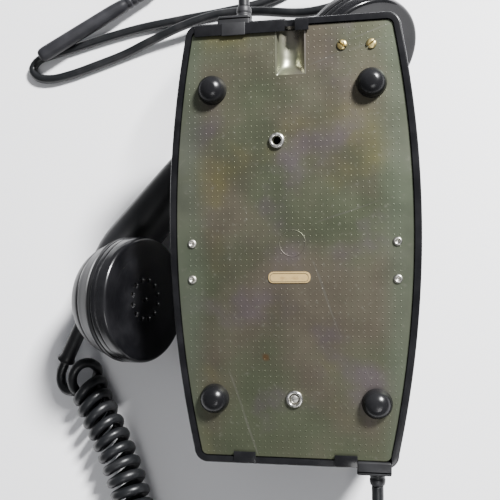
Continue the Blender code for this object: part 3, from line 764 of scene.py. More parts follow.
@dataclass
class Studio:
    """Camera, soft lights and pale floor."""

    place: Placement
    eye: tuple[float, float, float] = (43.58, -72.81, 307.92)
    tilt: tuple[float, float, float] = (12.932, 10.951, 1.807)
    lens: float = 54.0
    floor_size: float = 6.0
    floor_colour: Colour = (0.80, 0.80, 0.815)
    fill: float = 0.28

    def camera(self) -> None:
        """Camera above the base plate, placed from the plate's centre."""
        data = bpy.data.cameras.new("camera")
        data.lens = self.lens
        data.clip_start = 0.01
        made = bpy.data.objects.new("camera", data)
        bpy.context.scene.collection.objects.link(made)
        made.location = (self.place.body[:3, 3] + self.eye) * MM
        made.rotation_euler = [math.radians(a) for a in self.tilt]
        bpy.context.scene.camera = made

    def light(self, name: str, at: Sequence[float], size: float, power: float) -> None:
        """Square area light at a point in metres, turned towards the telephone."""
        data = bpy.data.lights.new(name, "AREA")
        data.size = size
        data.energy = power
        made = bpy.data.objects.new(name, data)
        bpy.context.scene.collection.objects.link(made)
        facing = frame_from(np.array(at), np.array(at) - (0.0, 0.0, 0.05), np.array((1.0, 0.0, 0.0)))
        made.matrix_world = Matrix(facing.tolist())

    def floor(self) -> None:
        """Pale table top with a faint, uneven sheen."""
        half = self.floor_size / 2
        corners = np.array([(-half, -half, 0), (half, -half, 0), (half, half, 0), (-half, half, 0)]) / MM
        made = mesh_piece("floor", corners, [[0, 1, 2, 3]], np.eye(4))
        if made.data.polygons[0].normal.z < 0:
            made.data.flip_normals()
        shader = Shader("pale_table")
        tone = shader.noise(3.0, shader.coords(), 4.0)
        duller = tuple(c * 0.97 for c in self.floor_colour)
        shader.feed("Base Color", shader.mix(self.floor_colour, duller, tone))
        shader.feed("Roughness", shader.spread(tone, 0.3, 0.7, (0.42, 0.55)))
        made.data.materials.append(shader.material)

    def sky(self) -> None:
        """Even grey light from all round."""
        world = bpy.data.worlds.new("studio")
        world.use_nodes = True
        background = world.node_tree.nodes["Background"]
        background.inputs["Color"].default_value = (0.93, 0.95, 1.0, 1.0)
        background.inputs["Strength"].default_value = self.fill
        bpy.context.scene.world = world

    def build(self) -> None:
        """Set the whole studio up."""
        self.camera()
        self.light("key", (0.78, 0.72, 1.05), 0.26, 106.0)
        self.light("window", (0.35, -0.95, 1.1), 0.50, 6.0)
        self.floor()
        self.sky()


# ---------------------------------------------------------------- cords


@dataclass
class LineCord:
    """Line cord from the top gland to its plug, with the spare length in a tied coil."""

    place: Placement
    diameter: float = 5.0
    leaving: tuple = ((-21.0, 103.1, 84.8), (-21.2, 111.0, 86.2), (-22.0, 124.0, 86.0),
                      (-20.0, 142.0, 78.5), (-11.0, 159.0, 67.0), (4.0, 168.0, 52.0),
                      (20.0, 166.0, 36.0), (28.0, 156.0, 24.0), (22.0, 146.0, 16.0), (0.0, 141.0, 12.0),
                      (-32.0, 145.5, 9.0), (-52.0, 145.5, 8.6), (-72.0, 140.5, 8.2),
                      (-92.0, 134.0, 5.0), (-108.0, 128.0, 2.8), (-124.0, 122.5, 2.6),
                      (-140.0, 117.5, 2.6), (-152.0, 115.4, 2.6), (-160.5, 117.0, 2.6),
                      (-164.5, 122.0, 2.6), (-161.5, 127.6, 2.6), (-153.5, 130.6, 2.6),
                      (-141.0, 133.6, 2.6), (-122.0, 138.8, 2.6), (-100.0, 143.8, 2.6),
                      (-76.0, 147.2, 2.6), (-50.0, 150.5, 2.6), (-28.0, 154.5, 2.6),
                      (-12.0, 161.5, 2.6), (-3.0, 173.0, 2.6), (0.0, 186.0, 2.6), (0.4, 200.0, 2.6),
                      (0.8, 213.0, 2.6), (1.8, 225.0, 2.6))
    returning: tuple = ((46.9, 196.2, 2.9), (30.0, 192.0, 4.0), (14.0, 190.0, 7.6), (2.0, 190.0, 8.6),
                        (-10.0, 192.0, 7.6), (-24.0, 193.5, 4.2), (-42.0, 191.0, 2.6),
                        (-62.0, 184.0, 2.6), (-78.0, 176.0, 4.0), (-92.0, 167.0, 6.6))
    coil_centre: tuple[float, float] = (38.0, 232.0)
    coil_radius: float = 27.5
    turn_sides: tuple = ((2.7, 2.6), (-2.7, 2.6), (-2.7, 7.9), (2.7, 7.9))
    plug_tip: tuple[float, float, float] = (-157.5, 126.0, 9.6)

    def wound(self) -> np.ndarray:
        """Turns of the coil, clockwise: radius and height ease from one lie to the next once a turn.

        Returns:
            Points at (centre + r cos a, centre + r sin a, z), 40 to a turn.
        """
        first, last = math.radians(191.0), math.radians(-76.0)
        total = 2 * math.pi * len(self.turn_sides) + first - last
        angle = np.linspace(0.0, total, int(total / (2 * math.pi) * 40))
        lies = np.array([(9.4, 2.6), *self.turn_sides, (9.4, 2.9)])
        share = (angle - math.radians(60)) / (2 * math.pi) + 0.5
        share = np.clip(share, 0.0, len(lies) - 1.0)
        low = np.minimum(share.astype(int), len(lies) - 2)
        part = np.clip((share - low - 0.25) / 0.5, 0, 1)
        part = (part * part * (3 - 2 * part))[:, None]
        offsets = lies[low] * (1 - part) + lies[low + 1] * part
        radius = self.coil_radius + offsets[:, 0]
        bearing = first - angle
        return np.column_stack([self.coil_centre[0] + radius * np.cos(bearing),
                                self.coil_centre[1] + radius * np.sin(bearing), offsets[:, 1]])

    def route(self) -> np.ndarray:
        """The cord's centre line from the gland to its plug."""
        coil = self.wound()
        start = np.array(self.leaving[:-1])
        end = np.array(self.returning[1:])
        line = smooth_line(np.vstack([start, coil[2:-2:2], end]), 8)
        line[:, 2] = np.maximum(line[:, 2], self.diameter / 2 + 0.05)
        return evenly(line, 2.2)

    def plug_profile(self, length: float) -> np.ndarray:
        """Slim round boot: a ribbed root that swells to a smooth grip with a rounded nose."""
        points = [(0.0, 0.0), (2.9, 0.0)]
        for k in range(5):
            foot = 2.0 + 3.4 * k
            points += [(3.3 + 0.06 * k, foot), (3.3 + 0.06 * k, foot + 1.9), (2.9 + 0.1 * k, foot + 2.3),
                       (2.9 + 0.1 * k, foot + 3.1)]
        points += [(3.8, 21.0), (4.1, 28.0), (4.1, length - 4.0), (3.7, length - 1.6), (2.4, length - 0.3),
                   (0.0, length)]
        return rounded(points, 0.9, 3)

    def build(self) -> list[bpy.types.Object]:
        """Returns:
            The pieces.
        """
        path = self.route()
        cord = tube("line_cord", path, self.diameter / 2, (0.05, 0.02, 1.0), self.place.table, 16)
        unwrap_along(cord, path, self.place.table)
        dress(cord, CORD_SKIN, "phone_body", ("line_cord_run", "line_cord_end", "line_cord_coil"))
        plug = self.plug(path[-1])
        tie = self.tie()
        return [cord, plug, tie]

    def plug(self, start: np.ndarray) -> bpy.types.Object:
        """Plug boot from the cord's end to its tip."""
        tip = np.array(self.plug_tip)
        where = self.place.table @ frame_from(start, tip - start, np.array([0.0, 0.0, 1.0]))
        made = lathe("line_plug_boot", self.plug_profile(np.linalg.norm(tip - start)), where, 32)
        return dress(made, BOOT, "phone_body", ("line_plug",))

    def tie(self) -> bpy.types.Object:
        """Strap round the coil's turns: a flat band swept round a rounded oblong."""
        angles = np.linspace(0, 2 * math.pi, 48, endpoint=False)
        middle = np.array([0.0, 5.6])
        oblong = np.column_stack([6.1 * np.sign(np.cos(angles)) * np.abs(np.cos(angles)) ** 0.5,
                                  middle[1] + 5.05 * np.sign(np.sin(angles)) * np.abs(np.sin(angles)) ** 0.5])
        band = []
        for across, out in ((-1.4, 0.0), (-1.4, 0.5), (1.4, 0.5), (1.4, 0.0)):
            grown = middle + (oblong - middle) * (1 + out / 8.0)
            band.append(np.column_stack([self.coil_radius + grown[:, 0], np.full(48, across), grown[:, 1]]))
        points = np.array(band)
        where = self.place.table @ shift(*self.coil_centre, 0) @ turn("Z", math.radians(70))
        made = mesh_piece("coil_tie", points, grid_faces(4, 48, True, True).tolist(), where)
        return dress(made, GROMMET, "phone_body")


@dataclass
class CurlyCord:
    """Handset cord: plain lead from the sleeve, coiled length, plain lead up to the body's gland."""

    place: Placement
    diameter: float = 5.0
    mean_radius: float = 7.2
    pitch: float = 6.9
    tilt: float = 0.75
    tilt_fade: float = 38.0
    lying: float = 0.9
    lying_turns: float = 1.2
    spacing: float = 1.1
    lean_span: int = 29
    core: tuple = ((-114.3, -54.2, 9.9), (-112.0, -59.0, 9.9), (-106.5, -70.0, 9.9), (-99.5, -82.0, 9.9),
                   (-93.0, -94.0, 9.9), (-87.5, -106.0, 9.9), (-82.8, -118.0, 9.9), (-76.0, -134.0, 9.9),
                   (-63.0, -149.0, 9.9), (-45.0, -160.0, 9.9), (-25.0, -165.0, 9.9), (-8.0, -163.0, 9.9))
    lead: tuple = ((-125.3, -47.4, 9.9), (-127.8, -53.5, 8.6), (-127.3, -59.0, 7.6), (-124.0, -62.0, 7.8))
    tail: tuple = ((-5.0, -168.6, 3.0), (0.0, -172.6, 2.7), (7.0, -173.0, 2.7), (15.0, -169.5, 2.9),
                   (23.0, -161.0, 4.5), (29.0, -150.0, 8.5), (32.4, -139.0, 14.5), (33.8, -128.0, 22.5),
                   (34.4, -118.0, 31.0), (34.5, -109.0, 38.2), (34.5, -99.1, 41.8))
    bend_start: tuple[float, float, float] = (-112.0, -64.0, 9.9)
    bend_end: tuple[float, float, float] = (-63.0, -149.0, 9.9)

    def helix(self) -> np.ndarray:
        """Turns about the core line: core + r (cos a side + sin a up), a falling by a turn each pitch.

        Each turn leans by -k r cos a along the core, so that its left side lies further on than its
        right; the first turn also lies back towards the handset.  The last turn ends at its foot.

        Returns:
            Points, 20 to a turn.
        """
        core = evenly(smooth_line(self.core, 24), 0.25)
        far = walked(core)
        turns = round(far[-1] / self.pitch) + 0.75
        share = np.linspace(0.0, 1.0, int(turns * 20) + 1)
        at = np.column_stack([np.interp(share * far[-1], far, core[:, k]) for k in range(3)])
        ahead = unit(np.gradient(at, axis=0))
        side = unit(np.cross(ahead, (0.0, 0.0, 1.0))) * -1.0
        up = np.array([0.0, 0.0, 1.0])
        angle = math.pi - 2 * math.pi * turns * share
        first = np.clip(1.0 - share * turns / self.lying_turns, 0.0, 1.0)
        tilt = self.tilt * np.exp(-share * far[-1] / self.tilt_fade)
        ahead_by = -tilt * np.cos(angle) - self.lying * first * np.maximum(np.sin(angle), 0.0)
        out = np.cos(angle)[:, None] * side + np.sin(angle)[:, None] * up
        return at + self.mean_radius * (out + ahead_by[:, None] * ahead)

    def build(self) -> bpy.types.Object:
        """Make the cord as one mesh that runs from the handset to the body.

        Returns:
            The cord.
        """
        coil = self.helix()
        path = smooth_line(np.vstack([self.lead, coil, self.tail]), 4)
        path[:, 2] = np.maximum(path[:, 2], self.diameter / 2 + 0.05)
        path = evenly(path, self.spacing)
        span = self.lean_span
        smooth = np.stack([np.convolve(np.pad(path[:, k], span // 2, "edge"), np.ones(span) / span, "valid")
                           for k in range(3)], 1)
        lean = unit(np.gradient(smooth, axis=0))
        cord = tube("curly_cord", path, self.diameter / 2, lean + (0, 0, 0.35), self.place.table, 12)
        unwrap_along(cord, path, self.place.table)
        dress(cord, CORD_SKIN, None,
              ("curly_cord_coils", "curly_cord_handset_lead", "curly_cord_body_lead"))
        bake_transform(cord)
        return cord


# ---------------------------------------------------------------- body


@dataclass
class Shell:
    """The bowed outline that the housing and the base plate share, in the body frame."""

    top: float = 96.0
    bottom: float = -94.0
    half_width: float = 54.0
    widest: float = 8.0
    bow: float = 1.12e-3
    corner: float = 6.0
    depth_bottom: float = 53.0
    depth_top: float = 28.0

    def depth(self, y: np.ndarray | float) -> np.ndarray | float:
        """Depth of the body below its base plate at height y."""
        fall = (self.depth_bottom - self.depth_top) / (self.top - self.bottom)
        return self.depth_bottom - (np.asarray(y) - self.bottom) * fall

    def outline(self, inset: float, sides: int = 44, corners: int = 9) -> np.ndarray:
        """Outline moved inwards: x = half width - bow (y - widest)^2 on the sides, arcs at the corners.

        Args:
            inset: Distance inwards in millimetres.
            sides: Pieces of each long side.
            corners: Pieces of each corner.

        Returns:
            Points round the outline, anticlockwise.
        """
        low, high = self.bottom + inset, self.top - inset
        radius = max(self.corner - inset, 1.0)
        y = np.linspace(low + radius, high - radius, sides + 1)
        x = self.half_width - self.bow * (y - self.widest) ** 2 - inset
        below = arc((x[0] - radius, low + radius), radius, -90, 0, corners)
        above = arc((x[-1] - radius, high - radius), radius, 0, 90, corners)
        right = np.vstack([below, np.column_stack([x, y])[1:-1], above])
        return np.vstack([right, right[::-1] * (-1, 1)])

    def rings(self, levels: Sequence[Sequence[float]] | np.ndarray) -> np.ndarray:
        """Rings at (inset, share of the depth, extra height) levels of the wedge-shaped body."""
        made = []
        for inset, share, lift in np.asarray(levels, float):
            flat = self.outline(inset)
            made.append(np.column_stack([flat, lift - share * self.depth(flat[:, 1])]))
        return np.array(made)


@dataclass
class Housing:
    """Black moulded shell with its rim, snap tabs, screw pillar, wells, cut-outs and cord notches."""

    place: Placement
    shell: Shell
    wall: float = 2.8
    rim: float = 0.8
    pillar: tuple[float, float] = (0.4, -66.0)
    hook_spots: tuple = ((-13.0, -64.0), (13.0, -64.0))
    wells: tuple = (-78.0, 81.0)

    def outside(self) -> np.ndarray:
        """Levels of the outer skin: rounded rim, drawn-in wall, elliptical front edge."""
        rim = arc((0.7, self.rim - 0.7), 0.7, 90, 180, 5)
        levels = [(2.4, 0.0, self.rim)] + [(x, 0.0, z) for x, z in rim]
        levels += [(0.12, 0.0, -3.0), (0.5, 0.0, -8.0)]
        turn_in = np.radians(np.linspace(0, 90, 11))
        levels += [(3.4, 1.0, 14.0)]
        levels += [(4.0 + 6.0 * (1 - math.cos(t)), 1.0, 10.0 * (1 - math.sin(t))) for t in turn_in]
        return np.array(levels)

    def build(self) -> bpy.types.Object:
        """Make the housing.

        Returns:
            The piece.
        """
        body, front, shell = self.place.body, self.place.front, self.shell
        made = loft("housing_shell", shell.rings(self.outside()), body)
        wall = self.wall
        inner = [(wall + 0.1, 0, self.rim + 2), (wall, 0, -1.5), (wall + 0.6, 0, -9), (wall + 4.0, 1, 10),
                 (wall + 5.4, 1, 5), (wall + 8, 1, wall)]
        cut(made, loft("tool_cavity", shell.rings(inner), body))
        for name, x, y in (("line", -24.6, 94.0), ("handset", 33.4, -92.0)):
            cut(made, block("tool_notch_" + name, (14.3, 9.0, 14.0), (x, y, -3.0), body, 0.3))
        tabs = (("a", -21.3, -91.2, 9.6), ("b", 21.8, -91.2, 9.6), ("top", -17.0, 92.8, 50.0))
        for name, x, y, width in tabs:
            cut(made, block("tool_tab_" + name, (width, 4.8, 0.7), (x, y, 0.98), body, 0.25), "UNION")
        length = float(shell.depth(self.pillar[1])) - 2.0 - wall
        post = lathe("tool_pillar", [(0, -length), (4, -length), (4, 0), (1.6, 0), (1.6, -12), (0, -12)],
                     body @ shift(*self.pillar, -2.0), 32)
        cut(made, post, "UNION")
        cut(made, block("tool_hang", (4.4, 12, 5), (0, 95, 1.0), body, 0.4))
        opening = [(0, -8), (32.4, -8), (32.4, -0.5), (33.2, 0.3), (33.2, 6), (0, 6)]
        cut(made, lathe("tool_dial", opening, front, 96))
        for k, y in enumerate(self.wells):
            floor = rounded([(0, -1.3), (31.2, -1.3), (32.0, -0.4), (32.7, 0.6), (33.5, 3), (0, 3)], 0.6, 3)
            cut(made, lathe("tool_well_%d" % k, floor, front @ shift(0, y, 0), 96))
        for k, (x, y) in enumerate(self.hook_spots):
            hole = [(0, -8), (3.9, -8), (3.9, -1.9), (4.5, -1.2), (4.5, 6), (0, 6)]
            cut(made, lathe("tool_hook_%d" % k, hole, front @ shift(x, y, 0), 32))
        return dress(settle(made), SHELL, "phone_body", ("housing",), 28)


@dataclass
class BackPlate:
    """Chromated steel base plate with its pressed pips, hanging channel, feet, sleeves and screws."""

    place: Placement
    shell: Shell
    inset: float = 3.1
    thickness: float = 1.2
    channel_radius: float = 6.6
    channel: tuple[float, float] = (72.0, 90.4)
    sleeve: tuple[float, float] = (-6.2, 44.0)
    pillar: tuple[float, float] = (0.4, -66.0)
    feet: tuple = ((-34.4, 66.9), (34.1, 66.6), (-34.4, -66.6), (34.9, -67.1))
    rivets: tuple = ((-44.0, 0.3), (-44.0, -15.3), (44.0, 0.3), (44.0, -15.3))
    terminals: tuple = ((21.9, 83.3, -40.0), (34.1, 83.0, 40.0))
    label: tuple[float, float] = (-1.4, -14.5)
    pip_pitch: float = 2.5
    pip_radius: float = 0.32
    pip_height: float = 0.08
    finish: Finish = field(init=False)

    def __post_init__(self) -> None:
        """Prepare the plate's finish in the plate's own frame."""
        self.finish = Chromated("chromated_plate", "plated_steel", self.place.body)

    def plate(self) -> bpy.types.Object:
        """Plate with rounded rims and its holes."""
        body = self.place.body
        soft = 0.25
        levels = [(self.inset + soft, 0, 0), (self.inset + 0.07, 0, -0.07), (self.inset, 0, -soft),
                  (self.inset, 0, soft - self.thickness), (self.inset + soft, 0, -self.thickness)]
        made = loft("back_plate", self.shell.rings(levels), body)
        low, high = self.channel
        slot = block("tool_slot", (2 * self.channel_radius, high - low + 8, 4), (0, (low + high) / 2 + 4, 0),
                     body, 0.2)
        cut(made, slot)
        holes = [(*self.sleeve, 1.7), (*self.pillar, 1.9)] + [(x, y, 1.5) for x, y, _ in self.terminals]
        for k, (x, y, radius) in enumerate(holes):
            tool = [(0, -3), (radius, -3), (radius, 2), (0, 2)]
            cut(made, lathe("tool_plate_hole_%d" % k, tool, body @ shift(x, y, 0), 32))
        return dress(settle(made), self.finish, "phone_body", ("base_plate",), 15)

    def pips(self) -> bpy.types.Object:
        """Grid of low pressed pips over the plate, one mesh, left out round the fittings.

        Each pip is two rings of eight points and a crown: radius r at the plate, 0.6 r higher up.

        Returns:
            The piece.
        """
        step = self.pip_pitch
        x, y = np.meshgrid(np.arange(-18, 19) * step, np.arange(-36, 37) * step)
        spots = np.column_stack([x.ravel(), y.ravel() + 0.6])
        half = self.shell.half_width - self.shell.bow * (spots[:, 1] - self.shell.widest) ** 2
        half = half - self.inset - 1.4
        keep = (np.abs(spots[:, 0]) < half) & (spots[:, 1] < 91.4) & (spots[:, 1] > -89.6)
        low = self.channel[0]
        keep &= ~((np.abs(spots[:, 0]) < self.channel_radius + 0.8) & (spots[:, 1] > low - 0.8))
        tabs = (spots[:, 1] < -88.0) & (np.abs(np.abs(spots[:, 0]) - 21.6) < 6)
        keep &= ~tabs & ~((spots[:, 1] > 89.4) & (spots[:, 0] < 9))
        fittings = [(*p, 6.6) for p in self.feet] + [(*p, 2.4) for p in self.rivets]
        fittings += [(*self.sleeve, 3.8), (*self.pillar, 4.1)] + [(x, y, 2.8) for x, y, _ in self.terminals]
        for fx, fy, radius in fittings:
            keep &= np.hypot(spots[:, 0] - fx, spots[:, 1] - fy) > radius
        lx, ly = self.label
        keep &= ~((np.abs(spots[:, 0] - lx) < 9.6) & (np.abs(spots[:, 1] - ly) < 3.0))
        spots = spots[keep]
        angles = np.linspace(0, 2 * math.pi, 8, endpoint=False)
        wheel = np.column_stack([np.cos(angles), np.sin(angles)])
        levels = ((1.0, -0.05), (0.86, 0.35), (0.5, 0.85))
        rings = [np.column_stack([wheel * self.pip_radius * r, np.full(8, h * self.pip_height)])
                 for r, h in levels]
        one = np.vstack([*rings, [(0, 0, self.pip_height)]])
        faces = grid_faces(3, 8, False, True).tolist()
        faces += [[16 + k, 16 + (k + 1) % 8, 24] for k in range(8)] + [list(range(8))[::-1]]
        points = one[None] + np.column_stack([spots, np.full(len(spots), 0.0)])[:, None]
        count = len(one)
        every = [[v + count * k for v in face] for k in range(len(spots)) for face in faces]
        made = mesh_piece("plate_pips", points, every, self.place.body)
        return dress(made, self.finish, "phone_body", (), 60)

    def trough(self) -> bpy.types.Object:
        """Half-round hanging channel: a cylinder's lower half that rises and fades at its inner end.

        Point (u, v): x = -r cos u, z = -d(v) sin u with d growing from a shallow lip to r.

        Returns:
            The piece.
        """
        low, high = self.channel
        outer = self.channel_radius + 0.15
        along = smooth_line([(low - 0.1, 0.04), (low + 1.6, 0.42), (low + 4.0, 0.82), (low + 7.0, 0.98),
                             (low + 10.0, 1.0), (high + 2.2, 1.0)], 6)
        u = np.linspace(0, math.pi, 33)

        def skin(radius: float, share: np.ndarray, y: np.ndarray) -> np.ndarray:
            """One surface of the trough at a radius."""
            x = -radius * np.cos(u)[None] + 0 * y[:, None]
            z = -0.02 - radius * share[:, None] * np.sin(u)[None]
            return np.stack([x, y[:, None] + 0 * z, z], axis=-1)

        outside = skin(outer, along[:, 1], along[:, 0])
        inside = skin(outer - 0.8, np.maximum(along[:, 1] - 0.02, 0.02), along[:, 0])
        rings = np.concatenate([outside, inside[:, ::-1]], axis=1)
        made = loft("channel_trough", rings, self.place.body)
        # The channel's copy of the plate film is about three times lighter than the plate: a painted sheen
        # for the shine of the pressed trough. Its lower roughness is real gloss.
        drawn = replace(self.finish, name="chromated_channel_painted_sheen", green=(0.22, 0.25, 0.15),
                        brown=(0.27, 0.24, 0.21), gloss=(0.24, 0.34))
        return dress(made, drawn, "phone_body", ("hanging_channel",), 40)

    def domes(self) -> None:
        """Four rubber feet: a dome that springs from a thin flange, with a small flat on top."""
        flat = 70
        crown = arc((0, 1.0), 1.0, 0, flat, 14)
        profile = [(0, 0.05), (6.35, 0.05), (6.35, 0.45), (6.2, 0.6)]
        profile += [(6.2 * x, 1.0 + 5.6 * (y - 1.0)) for x, y in crown]
        profile += [(0, profile[-1][1])]
        for k, spot in enumerate(self.feet, 1):
            made = lathe("foot_dome_%d" % k, profile, self.place.body @ shift(*spot, 0), 48)
            dress(made, FOOT, "phone_body", ("rubber_foot_%d" % k,), 50)

    def sleeves(self) -> None:
        """Fixing sleeve with its dark bore, screw ferrule, and the slotted case screw in it."""
        body = self.place.body
        collar = rounded([(1.8, 0.0), (3.5, 0.0), (3.3, 1.3), (2.5, 1.6), (1.8, 1.2), (1.8, 0.6), (1.8, 0.0)],
                         0.4, 3)
        made = lathe("sleeve_collar", collar[:-1], body @ shift(*self.sleeve, 0), 48, ring=True)
        dress(made, STEEL, "phone_body", ("fixing_sleeve",), 40)
        rim = rounded([(2.15, 0.0), (3.7, 0.0), (3.5, 1.25), (2.6, 1.4), (2.2, 0.9), (2.15, 0.0)], 0.35, 3)
        made = lathe("ferrule_collar", rim[:-1], body @ shift(*self.pillar, 0), 48, ring=True)
        dress(made, STEEL, "phone_body", ("screw_ferrule",), 40)
        head = rounded([(0, -12), (1.2, -12), (1.2, 0.2), (2.0, 0.25), (1.9, 0.8), (1.2, 1.15), (0, 1.2)],
                       0.25, 3)
        made = lathe("case_screw_head", head, body @ shift(*self.pillar, -0.5), 40)
        slot = body @ shift(*self.pillar, -0.5) @ turn("Z", math.radians(25))
        cut(made, block("tool_case_slot", (6, 0.6, 1.2), (0, 0, 1.35), slot, 0.05))
        dress(settle(made), DULL_STEEL, "phone_body", ("case_screw",), 30)

    def small_screws(self) -> None:
        """Rolled rivets at the sides and the two slotted brass terminal screws."""
        body = self.place.body
        rolled = rounded([(0, 0.05), (1.95, 0.05), (1.9, 0.5), (1.35, 0.95), (0.75, 0.7), (0.6, 0.2),
                          (0, 0.15)], 0.3, 3)
        for k, spot in enumerate(self.rivets, 1):
            made = lathe("rivet_head_%d" % k, rolled, body @ shift(*spot, 0), 32)
            dress(made, DULL_STEEL, "phone_body", ("plate_rivet_%d" % k,), 50)
        head = rounded([(0, -6), (1.2, -6), (1.2, 0.05), (2.2, 0.05), (2.15, 0.6), (1.4, 1.0), (0, 1.1)],
                       0.3, 3)
        for k, (x, y, angle) in enumerate(self.terminals, 1):
            where = body @ shift(x, y, 0) @ turn("Z", math.radians(angle))
            made = lathe("brass_head_%d" % k, head, where, 40)
            cut(made, block("tool_brass_slot_%d" % k, (6, 0.8, 2.6), (0, 0, 1.3), where, 0.05))
            dress(settle(made), BRASS, "phone_body", ("terminal_screw_%d" % k,), 30)

    def tag(self) -> None:
        """Blank label with a raised border, and the plain ring stamped above it."""
        body = self.place.body
        x, y = self.label
        sheet = [self.ring_path((9.0 - back, 2.4 - back), 2.1 - back) + (x, y, z)
                 for back, z in ((0.0, 0.05), (0.0, 0.36), (0.08, 0.43))]
        made = loft("blank_label", np.array(sheet), body)
        dress(made, LABEL, "phone_body", ("label_plate",), 40)
        angles = np.linspace(0, 2 * math.pi, 6, endpoint=False)
        border = self.ring_path((8.2, 1.75), 1.5)
        rim = tube_rings(np.vstack([border, border[:1]]), 0.16, np.array([0.0, 0.0, 1.0]), 6)[:-1]
        faces = grid_faces(len(rim), 6, True, True).tolist()
        dark = mesh_piece("label_border", rim + (x, y, 0.45), faces, body)
        ink = Card("label_edge_ink", "label", (0.16, 0.12, 0.06), (0.26, 0.20, 0.11))
        dress(dark, ink, "phone_body", (), 60)
        stamp = np.column_stack([5.6 + 0.22 * np.cos(angles), 0.02 + 0.1 * np.sin(angles)])
        made = lathe("stamped_ring", stamp, body @ shift(0, 0, 0), 72, ring=True)
        dress(made, self.finish, "phone_body", (), 60)

    @staticmethod
    def ring_path(half: tuple[float, float], corner: float) -> np.ndarray:
        """Closed oblong path in the plane of the plate."""
        spots = [(half[0] - corner, half[1] - corner, 0), (corner - half[0], half[1] - corner, 90),
                 (corner - half[0], corner - half[1], 180), (half[0] - corner, corner - half[1], 270)]
        flat = np.vstack([arc((x, y), corner, first, first + 90, 4) for x, y, first in spots])
        return np.column_stack([flat, np.zeros(len(flat))])

    def build(self) -> None:
        """Make the plate and everything on it."""
        self.plate()
        self.pips()
        self.trough()
        self.domes()
        self.sleeves()
        self.small_screws()
        self.tag()


@dataclass
class Glands:
    """Moulded grommets where the two cords leave the body, with ribbed tapered sleeves."""

    place: Placement
    shell: Shell
    height: float = -5.0

    def one(self, name: str, node: str, x: float, offset: float, outward: int) -> bpy.types.Object:
        """Grommet block in its notch with a sleeve that points out of the body's end.

        Args:
            name: Name of the piece.
            node: Node that it stands for.
            x: Place of the cord across the body.
            offset: Centre of the block, from the cord.
            outward: 1 at the top end, -1 at the bottom end.

        Returns:
            The piece.
        """
        edge = self.shell.top if outward > 0 else self.shell.bottom
        body = self.place.body
        made = block(name, (14.2, 5.6, 10.6), (x + offset, edge, self.height + 0.9), body, 0.7)
        if outward > 0:
            lip = block("tool_lip", (10.4, 5.6, 0.8), (x + offset, edge - 3.2, 1.25), body, 0.25)
            cut(made, lip, "UNION")
        profile = [(0, -2.4), (3.6, -2.4), (3.7, 1.4), (3.3, 1.8), (3.3, 2.6), (3.55, 3.0), (3.5, 4.0),
                   (3.15, 4.4), (3.15, 5.1), (3.35, 5.5), (3.3, 6.6), (3.0, 8.0), (0, 8.0)]
        where = body @ shift(x, edge, self.height) @ turn("X", -outward * math.pi / 2)
        cut(made, lathe("tool_" + name, rounded(profile, 0.3, 3), where, 40), "UNION")
        groove = block("tool_groove_" + name, (15.0, 0.6, 12.0), (x + offset, edge + outward * 1.5, 4.9),
                       body, 0.1)
        cut(made, groove)
        return dress(settle(made), GROMMET, "phone_body", (node,), 35)

    def build(self) -> None:
        """Make both grommets."""
        self.one("line_grommet", "line_cord_gland", -21.0, -3.6, 1)
        self.one("handset_grommet", "handset_cord_gland", 34.5, -1.1, -1)


# ---------------------------------------------------------------- dial and hook


